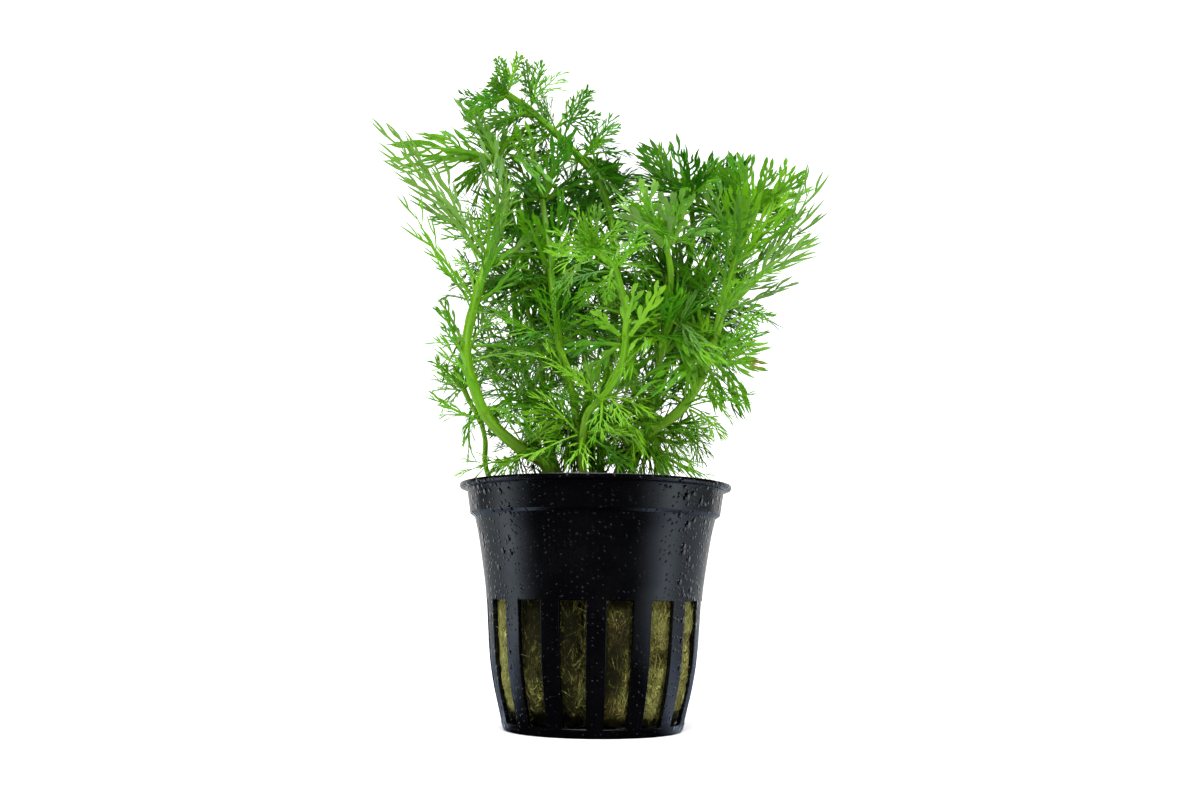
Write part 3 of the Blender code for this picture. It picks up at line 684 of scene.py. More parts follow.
def faces_towards(ring: Ring, grown: list[Leaf], tip: Point) -> list[int]:
    """The ring's free faces, the one that looks most towards the tip first."""
    aim = unit(np.asarray(tip, float) - ring.centre)
    return sorted(free_faces(ring, grown), key=lambda face: -ring.outward(ring.face_angle(face)) @ aim)


def grow_one(thicket: Thicket, grown: list[Leaf], tries: Iterable[Leaf]) -> None:
    """Grows the first of the tried leaves that is clear of all that stands.

    Args:
        thicket: all that stands.
        grown: the ring's leaves, which the new one joins.
        tries: the leaves to try in turn.
    """
    for leaf in tries:
        if thicket.is_clear(leaf):
            grown.append(leaf)
            thicket.add(*leaf.solid())
            return


class FrondKind(Enum):
    """How a leaf is divided."""

    FERN = "fern"
    FINE = "fine"
    BROAD = "broad"
    BLUNT = "blunt"
    PLUME = "plume"
    NARROW = "narrow"
    THREAD = "thread"
    YOUNG = "young"
    YOUNG_BROAD = "young broad"


@dataclass(frozen=True)
class FrondPlan:
    """The divisions of one kind of leaf. Angles are in degrees, half widths in millimetres.

    pairs of side fingers leave the midrib between the places in span; the longest is reach times the leaf's length and
    the last one end_reach. They start curl's first angle wider than angles says and end its second angle narrower.
    Each finger bears lobes: (place along it, angle, share of its length). rounded is 0 for points and 1 for blunt ends,
    and spread is how unevenly the fingers lift off the blade.
    """

    pairs: int
    span: tuple[float, float]
    reach: float
    end_reach: float
    angles: tuple[float, float]
    curl: tuple[float, float]
    midrib: float
    finger: float
    lobe: float
    lobes: tuple[tuple[float, float, float], ...]
    rounded: float
    spread: float


PLANS = {
    FrondKind.FERN: FrondPlan(
        6, (0.20, 0.88), 0.44, 0.24, (46, 26), (16, 30), 0.31, 0.25, 0.21, ((0.34, -30, 0.60), (0.56, 26, 0.46)),
        0.0, 0.2,
    ),
    FrondKind.FINE: FrondPlan(
        4, (0.26, 0.84), 0.54, 0.36, (38, 22), (18, 30), 0.27, 0.21, 0.18, ((0.30, -24, 0.62), (0.52, 22, 0.50)),
        0.0, 0.24,
    ),
    FrondKind.BROAD: FrondPlan(
        4, (0.28, 0.82), 0.58, 0.42, (33, 18), (18, 34), 0.44, 0.35, 0.30, ((0.36, -22, 0.60),), 0.1, 0.18,
    ),
    FrondKind.BLUNT: FrondPlan(
        2, (0.42, 0.74), 0.54, 0.42, (32, 24), (10, 18), 0.50, 0.56, 0.46, ((0.42, -24, 0.56),), 0.8, 0.14,
    ),
    FrondKind.PLUME: FrondPlan(
        4, (0.24, 0.84), 0.46, 0.34, (27, 15), (8, 16), 0.38, 0.33, 0.29, ((0.38, -16, 0.60),), 0.1, 0.12,
    ),
    FrondKind.NARROW: FrondPlan(
        3, (0.26, 0.78), 0.46, 0.36, (24, 15), (8, 14), 0.30, 0.23, 0.19, ((0.36, -18, 0.58),), 0.0, 0.2,
    ),
    FrondKind.THREAD: FrondPlan(
        3, (0.32, 0.80), 0.60, 0.42, (34, 20), (16, 28), 0.24, 0.17, 0.15, ((0.30, -24, 0.64), (0.50, 20, 0.50)),
        0.0, 0.28,
    ),
    FrondKind.YOUNG: FrondPlan(
        3, (0.26, 0.82), 0.46, 0.32, (36, 24), (14, 20), 0.30, 0.22, 0.19, ((0.42, -26, 0.52),), 0.0, 0.2,
    ),
    FrondKind.YOUNG_BROAD: FrondPlan(
        3, (0.28, 0.82), 0.46, 0.34, (32, 20), (12, 18), 0.44, 0.42, 0.34, ((0.45, -24, 0.50),), 0.5, 0.2,
    ),
}


@dataclass
class Strips:
    """Many leaf fingers or wool strands, each a bent flat rod: its root, the knee of its Bezier curve, its tip and its
    sideways direction, with its half width, its place in its leaf (at root and tip) and its values by name."""

    root: Array
    knee: Array
    tip: Array
    side: Array
    half_width: Array
    along: Array
    values: dict[str, Array]

    def curve(self, u: Array) -> tuple[Array, Array]:
        """Points and directions at places from 0 to 1, (strips, places, 3)."""
        return bezier(self.root[:, None], self.knee[:, None], self.tip[:, None], u[None, :, None])

    def in_leaf(self, u: Array) -> Array:
        """The places in the leaf of places from 0 to 1, straight between those of root and tip."""
        return self.along[:, :1] + (self.along[:, 1:] - self.along[:, :1]) * u[None]


# Sections of a midrib and of a flat strip, going round once: (share of the half width, share of the thickness).
DIAMOND = np.array([(1, 0), (0, 1), (-1, 0), (0, -1)], float)
KEEL = np.array([(1, -0.3), (0, 0.9), (-1, -0.3)], float)


@dataclass(frozen=True)
class Taper:
    """How a strip's half width runs along it, at the places where it has a section. rounded 1 gives a blunt end, 0 a
    drawn-out point; foot is the share of the width at the root."""

    places: tuple[float, ...]
    rounded: float
    foot: float
    thickness: float

    def shares(self) -> Array:
        """Widths as shares of the widest: a smooth rise from the foot times a fall that is straight for a point
        and a quarter circle for a blunt end.

        Returns:
            A share at each of the places.
        """
        u = np.array(self.places)
        rise = self.foot + (1 - self.foot) * smooth_step(u / 0.5)
        point = np.clip((1 - u) / 0.45, 0, 1) ** 0.85
        blunt = np.sqrt(np.clip(1 - np.clip((u - 0.72) / 0.28, 0, 1) ** 2, 0, 1))
        return rise * (point + (blunt - point) * self.rounded)


# Those of midribs, fingers and lobes. Behind the other stems fewer sections will do.
TAPERS = (
    Taper((0.02, 0.14, 0.3, 0.46, 0.62, 0.78, 0.92), 0.0, 1.0, 0.18),
    Taper((0.04, 0.28, 0.52, 0.74, 0.92), 0.0, 0.5, 0.11),
    Taper((0.06, 0.40, 0.70, 0.91), 0.0, 0.5, 0.1),
)
BACKGROUND_TAPERS = (
    TAPERS[0], replace(TAPERS[1], places=(0.05, 0.40, 0.72, 0.92)), replace(TAPERS[2], places=(0.08, 0.50, 0.86)),
)


def sweep(strips: Strips, taper: Taper, section: Array) -> tuple[Array, ...]:
    """Closed bodies along quadratic Bezier curves. Each point is the curve's point plus the section's first number
    times the half width sideways, and its second times the thickness along the blade's normal.

    Args:
        strips: the curves and sizes.
        taper: the width along each.
        section: the outline that is carried along, going round once from the sideways direction to the normal.

    Returns:
        Points, quads, triangles, the place in the leaf of each point, and its rim number: 1 and 2 on the blade's two
        edges, 3 at its ends, 0 elsewhere.
    """
    u = np.array([0.0, *taper.places, 1.0])
    share = taper.shares()
    count, rows, columns = len(strips.root), len(taper.places), len(section)
    centre, ahead = strips.curve(u)
    sideways = strips.side[:, None] - ahead * (strips.side[:, None] * ahead).sum(-1, keepdims=True)
    sideways = unit(sideways)
    normal = np.cross(ahead, sideways)
    wide = strips.half_width[:, None] * share[None]
    thick = taper.thickness * np.sqrt(np.clip(share, 0.05, 1))[None] * np.ones((count, 1))
    rings = (
        centre[:, 1:-1, None]
        + (wide[:, :, None] * section[:, 0])[..., None] * sideways[:, 1:-1, None]
        + (thick[:, :, None] * section[:, 1])[..., None] * normal[:, 1:-1, None]
    )
    points = np.concatenate([rings.reshape(count, rows * columns, 3), centre[:, :1], centre[:, -1:]], axis=1)
    first = (np.arange(count) * (rows * columns + 2))[:, None, None]
    quads, triangles = (faces[None] + first for faces in tube_faces(rows, columns))
    place = strips.in_leaf(u)
    place = np.concatenate([np.repeat(place[:, 1:-1], columns, axis=1), place[:, :1], place[:, -1:]], axis=1)
    rim = np.tile(np.append(np.tile([1, 0, 2, 0][:columns], rows), (3, 3)), count)
    return points.reshape(-1, 3), quads.reshape(-1, 4), triangles.reshape(-1, 3), place.ravel(), rim


@dataclass
class Skin:
    """The surfaces of one piece as they are gathered, with their values for the finishes."""

    points: list[Array] = field(default_factory=list)
    quads: list[Array] = field(default_factory=list)
    triangles: list[Array] = field(default_factory=list)
    values: dict[str, list[Array]] = field(default_factory=dict)
    rims: list[Array] = field(default_factory=list)
    count: int = 0

    def add(self, points: Array, quads: Array, triangles: Array, rim: Array | int = 0,
            **values: Array) -> None:
        """Adds a surface.

        Args:
            points: its points in millimetres.
            quads: its four-sided faces, by its own points' numbers.
            triangles: its three-sided faces.
            rim: the rim number of each point. Edges along a rim stay sharp.
            values: one number for each point, by name.
        """
        self.rims.append(np.broadcast_to(rim, len(points)))
        self.points.append(points)
        self.quads.append(np.asarray(quads, np.int64).reshape(-1, 4) + self.count)
        self.triangles.append(np.asarray(triangles, np.int64).reshape(-1, 3) + self.count)
        for name, value in values.items():
            self.values.setdefault(name, []).append(np.broadcast_to(value, len(points)))
        self.count += len(points)

    def add_strips(self, strips: Strips, taper: Taper, section: Array) -> None:
        """Adds swept strips with their place and values.

        Args:
            strips: the strips.
            taper: their widths along their length.
            section: the outline that is swept along them.
        """
        if not len(strips.root):
            return
        points, quads, triangles, place, rim = sweep(strips, taper, section)
        each = len(points) // len(strips.root)
        values = {name: np.repeat(value, each) for name, value in strips.values.items()}
        self.add(points, quads, triangles, rim, along=place, **values)

    def mesh(self, name: str) -> bpy.types.Mesh:
        """The gathered surfaces as one smooth-shaded mesh in metres, with each value as a point attribute.

        Args:
            name: the mesh's name.

        Returns:
            The mesh.
        """
        points = np.vstack(self.points)
        quads, triangles = np.vstack(self.quads), np.vstack(self.triangles)
        mesh = bpy.data.meshes.new(name)
        mesh.vertices.add(len(points))
        mesh.vertices.foreach_set("co", (points * MM).astype(np.float32).ravel())
        corners = np.concatenate([quads.ravel(), triangles.ravel()]).astype(np.int32)
        mesh.loops.add(len(corners))
        mesh.loops.foreach_set("vertex_index", corners)
        starts = np.concatenate([np.arange(len(quads)) * 4, quads.size + np.arange(len(triangles)) * 3])
        mesh.polygons.add(len(starts))
        mesh.polygons.foreach_set("loop_start", starts.astype(np.int32))
        mesh.update(calc_edges=True)
        mesh.validate()
        for key, parts in self.values.items():
            layer = mesh.attributes.new(key, "FLOAT", "POINT")
            layer.data.foreach_set("value", np.concatenate(parts).astype(np.float32))
        mesh.shade_smooth()
        pairs = np.empty(len(mesh.edges) * 2, np.int32)
        mesh.edges.foreach_get("vertices", pairs)
        rim = np.concatenate(self.rims)[pairs.reshape(-1, 2)]
        sharp = (rim[:, 0] == rim[:, 1]) | (rim.max(1) == 3)
        mesh.edges.foreach_set("use_edge_sharp", sharp & (rim.min(1) > 0))
        return mesh


def settle(name: str, skin: Skin, look: Material, node: str) -> Piece:
    """Puts gathered surfaces into the scene as the piece that stands for a node.

    Args:
        name: the piece's name.
        skin: its surfaces.
        look: its material.
        node: the node that it stands for.

    Returns:
        The piece.
    """
    piece = bpy.data.objects.new(name, skin.mesh(name))
    piece.data.materials.append(look)
    bpy.context.scene.collection.objects.link(piece)
    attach(piece, "root")
    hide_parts(node)
    LOG.info("%s: %d faces, for %s", name, len(piece.data.polygons), node)
    return piece


class Weave:
    """Adds nodes to one node tree and links them."""

    def __init__(self, tree: bpy.types.NodeTree) -> None:
        """Keeps the tree."""
        self.tree = tree

    def node(self, kind: str, settings: dict | None = None, **sockets: object) -> Node:
        """A new node.

        Args:
            kind: its type without the ShaderNode before it.
            settings: its properties by name.
            sockets: its inputs by name, with _ for a blank: another node's output, or a constant.

        Returns:
            The node.
        """
        made = self.tree.nodes.new(f"ShaderNode{kind}")
        for key, value in (settings or {}).items():
            setattr(made, key, value)
        return self.dress(made, **sockets)

    def dress(self, made: Node, **sockets: object) -> Node:
        """Feeds a node's inputs by name, with _ for a blank, and gives the node back.

        Args:
            made: the node.
            sockets: an output or a constant for each named input.

        Returns:
            The same node.
        """
        for key, value in sockets.items():
            self.feed(made.inputs[key.replace("_", " ")], value)
        return made

    def feed(self, socket: Socket, value: object) -> None:
        """Links an output to a socket, or sets the socket to a constant.

        Args:
            socket: the input.
            value: an output or a constant.
        """
        if isinstance(value, Socket):
            self.tree.links.new(value, socket)
        else:
            socket.default_value = value

    def result(self, kind: str, settings: dict, *values: object) -> Socket:
        """The first output of a new node whose inputs are fed in their order.

        Args:
            kind: the node's type, as in node.
            settings: its properties.
            values: an output or a constant for each input.

        Returns:
            Its first output.
        """
        made = self.node(kind, settings)
        for socket, value in zip(made.inputs, values, strict=False):
            self.feed(socket, value)
        return made.outputs[0]

    def math(self, operation: str, a: object, b: object = 0.0, clamp: bool = False) -> Socket:
        """The output of a Math node."""
        return self.result("Math", {"operation": operation, "use_clamp": clamp}, a, b)

    def scaled(self, value: object, times: object, plus: object) -> Socket:
        """value times a number plus a number."""
        return self.result("Math", {"operation": "MULTIPLY_ADD"}, value, times, plus)

    def blend(self, factor: object, a: object, b: object) -> Socket:
        """The output of a colour Mix node, a at factor 0 and b at 1.

        Args:
            factor: the share of b.
            a: one colour.
            b: the other colour.

        Returns:
            The mixed colour.
        """
        made = self.node("Mix", {"data_type": "RGBA"})
        for index, value in ((0, factor), (6, a), (7, b)):
            self.feed(made.inputs[index], value)
        return made.outputs[2]

    def ramp(self, factor: object, stops: tuple[tuple[float, float], ...]) -> Socket:
        """A grey Color Ramp's output, from (place, brightness) stops.

        Args:
            factor: the number that is mapped.
            stops: places and brightnesses, in order.

        Returns:
            The brightness.
        """
        made = self.node("ValToRGB", Fac=factor)
        band = made.color_ramp
        band.elements[0].position, band.elements[-1].position = stops[0][0], stops[-1][0]
        for place, _ in stops[1:-1]:
            band.elements.new(place)
        for element, (_, grey) in zip(band.elements, stops, strict=True):
            element.color = (grey, grey, grey, 1)
        return made.outputs[0]

    def attribute(self, name: str) -> Socket:
        """A mesh attribute's number."""
        return self.node("Attribute", {"attribute_name": name}).outputs["Fac"]

    def noise(self, where: object, scale: float, detail: float = 4.0, rough: float = 0.55) -> Socket:
        """A noise texture's number."""
        made = self.node("TexNoise", Vector=where, Scale=scale, Detail=detail, Roughness=rough)
        return made.outputs["Fac"]

    def object_place(self) -> Socket:
        """Object coordinates, in metres."""
        return self.node("TexCoord").outputs["Object"]

    def grain(self, scale: float, strength: float, distance: float, detail: float = 3.0,
              **sockets: object) -> Socket:
        """A fine noise relief's normal."""
        height = self.noise(self.object_place(), scale, detail)
        return self.node("Bump", Strength=strength, Distance=distance, Height=height, **sockets).outputs["Normal"]

    def let_light_through(self, shader: Node, output: Node, colour: object, share: float) -> None:
        """Mixes a share of a Translucent BSDF of one colour into a shader.

        Args:
            shader: the shader that is mixed into.
            output: the material's output.
            colour: the colour of the light.
            share: how much of the mix lets light through.
        """
        glow = self.node("BsdfTranslucent", Color=colour)
        both = self.result("MixShader", {}, share, shader.outputs[0], glow.outputs[0])
        self.feed(output.inputs["Surface"], both)


def mottle_group() -> bpy.types.NodeTree:
    """The node group Growth mottle, built once: large and small noise mixed into one mask. Green pieces use it.

    Returns:
        The node group.
    """
    name = "Growth mottle"
    if name in bpy.data.node_groups:
        return bpy.data.node_groups[name]
    group = bpy.data.node_groups.new(name, "ShaderNodeTree")
    for label, start in (("Patch scale", 220.0), ("Grain scale", 1500.0), ("Grain share", 0.35)):
        group.interface.new_socket(label, in_out="INPUT", socket_type="NodeSocketFloat").default_value = start
    group.interface.new_socket("Mask", in_out="OUTPUT", socket_type="NodeSocketFloat")
    weave = Weave(group)
    start, end = group.nodes.new("NodeGroupInput"), group.nodes.new("NodeGroupOutput")
    where = weave.object_place()
    patch = weave.noise(where, start.outputs["Patch scale"], 2.0)
    grain = weave.noise(where, start.outputs["Grain scale"], 3.0)
    share = start.outputs["Grain share"]
    rest = weave.math("SUBTRACT", 1.0, share)
    weave.feed(end.inputs["Mask"], weave.scaled(patch, rest, weave.math("MULTIPLY", grain, share)))
    return group


def new_material(name: str) -> tuple[Material, Weave, Node, Node]:
    """A material with its weave, its Principled BSDF and its output.

    Args:
        name: the material's name.

    Returns:
        The four, in that order.
    """
    made = bpy.data.materials.new(name)
    made.use_nodes = True
    nodes = made.node_tree.nodes
    return made, Weave(made.node_tree), nodes["Principled BSDF"], nodes["Material Output"]


@dataclass(frozen=True)
class LeafFinish:
    """Fresh green leaf: darker or lighter by leaf, which includes painted shade on the leaves further back, mottled,
    paler at its root, and it lets light through.
    """

    name: str = "divided leaf"
    dark: Colour = (0.019, 0.150, 0.003, 1)
    mid: Colour = (0.062, 0.275, 0.004, 1)
    light: Colour = (0.205, 0.480, 0.012, 1)
    pale: Colour = (0.150, 0.290, 0.058, 1)
    dry: Colour = (0.330, 0.130, 0.030, 1)
    roughness: float = 0.42
    through: float = 0.38

    def material(self) -> Material:
        """The material. Attributes used: tone 0 to 1, pale 0 to 1, dry 0 to 1, along 0 to 1.

        Returns:
            The finished material.
        """
        made, weave, shader, output = new_material(self.name)
        mottle = weave.node("Group", {"node_tree": mottle_group()}, Patch_scale=260.0, Grain_scale=1800.0)
        patch = mottle.outputs["Mask"]
        tone = weave.math("SUBTRACT", weave.scaled(patch, 0.9, weave.attribute("tone")), 0.45, clamp=True)
        colour = weave.blend(weave.ramp(tone, ((0.0, 0.0), (0.5, 1.0))), self.dark, self.mid)
        colour = weave.blend(weave.ramp(tone, ((0.45, 0.0), (1.0, 1.0))), colour, self.light)
        colour = weave.blend(weave.attribute("pale"), colour, self.pale)
        root = weave.ramp(weave.attribute("along"), ((0.0, 0.6), (0.4, 0.0)))
        colour = weave.blend(root, colour, self.light)
        colour = weave.blend(weave.attribute("dry"), colour, self.dry)
        weave.dress(shader, Base_Color=colour, Roughness=weave.scaled(patch, 0.2, self.roughness - 0.1),
                    Normal=weave.grain(5200.0, 0.25, 0.00005), Specular_IOR_Level=0.3)
        weave.let_light_through(shader, output, colour, self.through)
        return made


@dataclass(frozen=True)
class StemFinish:
    """Juicy yellow-green stem, paler on its ribs, with fine length-wise streaks."""

    name: str = "ribbed stem"
    furrow: Colour = (0.052, 0.225, 0.004, 1)
    rib: Colour = (0.165, 0.380, 0.010, 1)
    foot: Colour = (0.210, 0.370, 0.030, 1)
    roughness: float = 0.34
    through: float = 0.3

    def material(self) -> Material:
        """The material. Attributes used: rib 0 to 1 over the ribs, along 0 to 1, tone 0 to 1.

        Returns:
            The finished material.
        """
        made, weave, shader, output = new_material(self.name)
        mottle = weave.node("Group", {"node_tree": mottle_group()}, Patch_scale=300.0, Grain_scale=2400.0)
        patch = mottle.outputs["Mask"]
        share = weave.scaled(weave.attribute("tone"), 0.5, weave.scaled(weave.attribute("rib"), 0.45, patch))
        colour = weave.blend(weave.ramp(share, ((0.35, 0.0), (1.1, 1.0))), self.furrow, self.rib)
        low = weave.ramp(weave.attribute("along"), ((0.0, 0.7), (0.3, 0.0)))
        colour = weave.blend(low, colour, self.foot)
        weave.dress(shader, Base_Color=colour, Roughness=weave.scaled(patch, 0.25, self.roughness - 0.1),
                    Normal=weave.grain(3000.0, 0.3, 0.0001), Specular_IOR_Level=0.3)
        weave.let_light_through(shader, output, colour, self.through)
        return made


@dataclass(frozen=True)
class WoolFinish:
    """Damp olive mineral wool: tangled light strands over a dark, brown-green ground."""

    name: str = "mineral wool"
    dark: Colour = (0.012, 0.012, 0.002, 1)
    olive: Colour = (0.115, 0.112, 0.018, 1)
    rusty: Colour = (0.105, 0.080, 0.012, 1)
    light: Colour = (0.400, 0.410, 0.120, 1)

    def material(self) -> Material:
        """The material. Attribute used: tone 0 to 1, which carries the wads' painted shade and light; where it is low
        the wool turns to the dark colour.

        Returns:
            The finished material.
        """
        made, weave, shader, _ = new_material(self.name)
        where = weave.object_place()
        warp = weave.node("TexNoise", Vector=where, Scale=220.0, Detail=3.0)
        bend = (0.005, 0.005, 0.005)
        bent = weave.result("VectorMath", {"operation": "MULTIPLY_ADD"}, warp.outputs["Color"], bend, where)
        one = self.strands(weave, bent, (0.35, 0.2, 0.0), 5600.0)
        other = self.strands(weave, bent, (-0.7, 0.6, 0.4), 4600.0)
        strands = weave.math("MAXIMUM", one, other)
        lumps = weave.noise(where, 300.0, 3.0)
        level = weave.scaled(strands, 0.75, weave.scaled(lumps, 0.6, weave.attribute("tone")))
        level = weave.math("SUBTRACT", level, 0.72, clamp=True)
        rust = weave.ramp(weave.noise(where, 170.0, 2.0), ((0.42, 0.0), (0.62, 1.0)))
        ground = weave.blend(rust, self.olive, self.rusty)
        colour = weave.blend(weave.ramp(level, ((0.03, 0.0), (0.5, 1.0))), self.dark, ground)
        colour = weave.blend(weave.ramp(level, ((0.42, 0.0), (1.0, 1.0))), colour, self.light)
        bump = weave.node("Bump", Strength=1.0, Distance=0.0005, Height=strands)
        weave.dress(shader, Base_Color=colour, Roughness=weave.scaled(lumps, 0.4, 0.4), Normal=bump.outputs["Normal"],
                    Specular_IOR_Level=0.12)
        return made

    def strands(self, weave: Weave, where: Socket, turn: tuple[float, float, float],
                scale: float) -> Socket:
        """Long thin fibres: noise drawn out upwards, turned, and sharpened to 0 or 1 over a narrow band."""
        drawn = weave.node("Mapping", Vector=where, Rotation=turn, Scale=(1.0, 1.0, 0.09))
        return weave.ramp(weave.noise(drawn.outputs[0], scale, 3.0, 0.6), ((0.42, 0.0), (0.66, 1.0)))


@dataclass(frozen=True)
class PotFinish:
    """Smooth black moulded plastic that looks wet: small round beads in its gloss, larger towards its sides."""

    name: str = "pot plastic"
    black: Colour = (0.0004, 0.0004, 0.0007, 1)
    dusty: Colour = (0.0012, 0.0013, 0.0019, 1)
    mean_radius: float = 23.5
    bead_flat: float = 1.15

    def beads(self, weave: Weave, where: Socket, cell: float, bare: Socket,
              widest: Socket) -> Socket:
        """Round domes: in each Voronoi cell, a flattened ball's height, the root of radius squared less distance
        squared. There is none across the line at the back where the unrolled wall's ends meet.

        Args:
            weave: the material's weave.
            where: coordinates on the unrolled wall, in millimetres.
            cell: the cells' size in millimetres.
            bare: cells whose random number is under this have no bead.
            widest: the largest radius, as a share of the cell's size.

        Returns:
            The domes' height in millimetres.
        """
        cells = weave.node("TexVoronoi", {"voronoi_dimensions": "2D"}, Vector=where, Scale=1 / cell, Randomness=0.9)
        pick = weave.node("SeparateColor", Color=cells.outputs["Color"]).outputs[0]
        pick = weave.math("MULTIPLY", weave.math("SUBTRACT", pick, bare, clamp=True), 1.4)
        heart = weave.node("SeparateXYZ", Vector=cells.outputs["Position"]).outputs["X"]
        ends = weave.math("LESS_THAN", weave.math("ABSOLUTE", heart), math.pi * self.mean_radius - cell)
        radius = weave.math("MULTIPLY", weave.math("MULTIPLY", pick, widest), ends)
        near = weave.math("POWER", cells.outputs["Distance"], 2.0)
        inside = weave.math("SUBTRACT", weave.math("POWER", radius, 2.0), near, clamp=True)
        return weave.math("MULTIPLY", weave.math("SQRT", inside), cell * self.bead_flat)

    def material(self) -> Material:
        """The material. The wall is unrolled for the beads: the angle from the front times the mean radius, and the
        height.

        Returns:
            The finished material.
        """
        made, weave, shader, _ = new_material(self.name)
        where = weave.object_place()
        haze = weave.noise(where, 120.0, 4.0)
        colour = weave.blend(weave.ramp(haze, ((0.45, 0.0), (0.8, 1.0))), self.black, self.dusty)
        place = weave.node("SeparateXYZ", Vector=where).outputs
        turn = weave.math("ARCTAN2", place["X"], weave.math("MULTIPLY", place["Y"], -1.0))
        wall = weave.node("CombineXYZ", X=weave.math("MULTIPLY", turn, self.mean_radius),
                          Y=weave.math("MULTIPLY", place["Z"], 1000.0)).outputs[0]
        across = weave.math("MULTIPLY", weave.math("ABSOLUTE", place["X"]), 40.0)
        side = weave.ramp(across, ((0.42, 0.0), (0.66, 1.0)))

        def by_side(middle: float, edge: float) -> Socket:
            """A number that goes from the front's middle to its sides."""
            return weave.scaled(side, edge - middle, middle)

        small = self.beads(weave, wall, 1.05, by_side(0.46, 0.14), by_side(0.3, 0.36))
        large = self.beads(weave, wall, 2.2, by_side(0.8, 0.3), by_side(0.24, 0.42))
        domes = weave.math("MAXIMUM", small, large)
        wet = weave.math("GREATER_THAN", domes, 0.004)
        rough = weave.math("MULTIPLY", weave.scaled(haze, 0.18, 0.12), weave.math("SUBTRACT", 1.12, wet))
        beads = weave.node("Bump", Strength=1.0, Distance=0.001, Height=domes).outputs["Normal"]
        weave.dress(shader, Base_Color=colour, Roughness=rough, Specular_IOR_Level=0.42,
                    Normal=weave.grain(4000.0, 0.06, 0.0001, 2.0, Normal=beads))
        return made


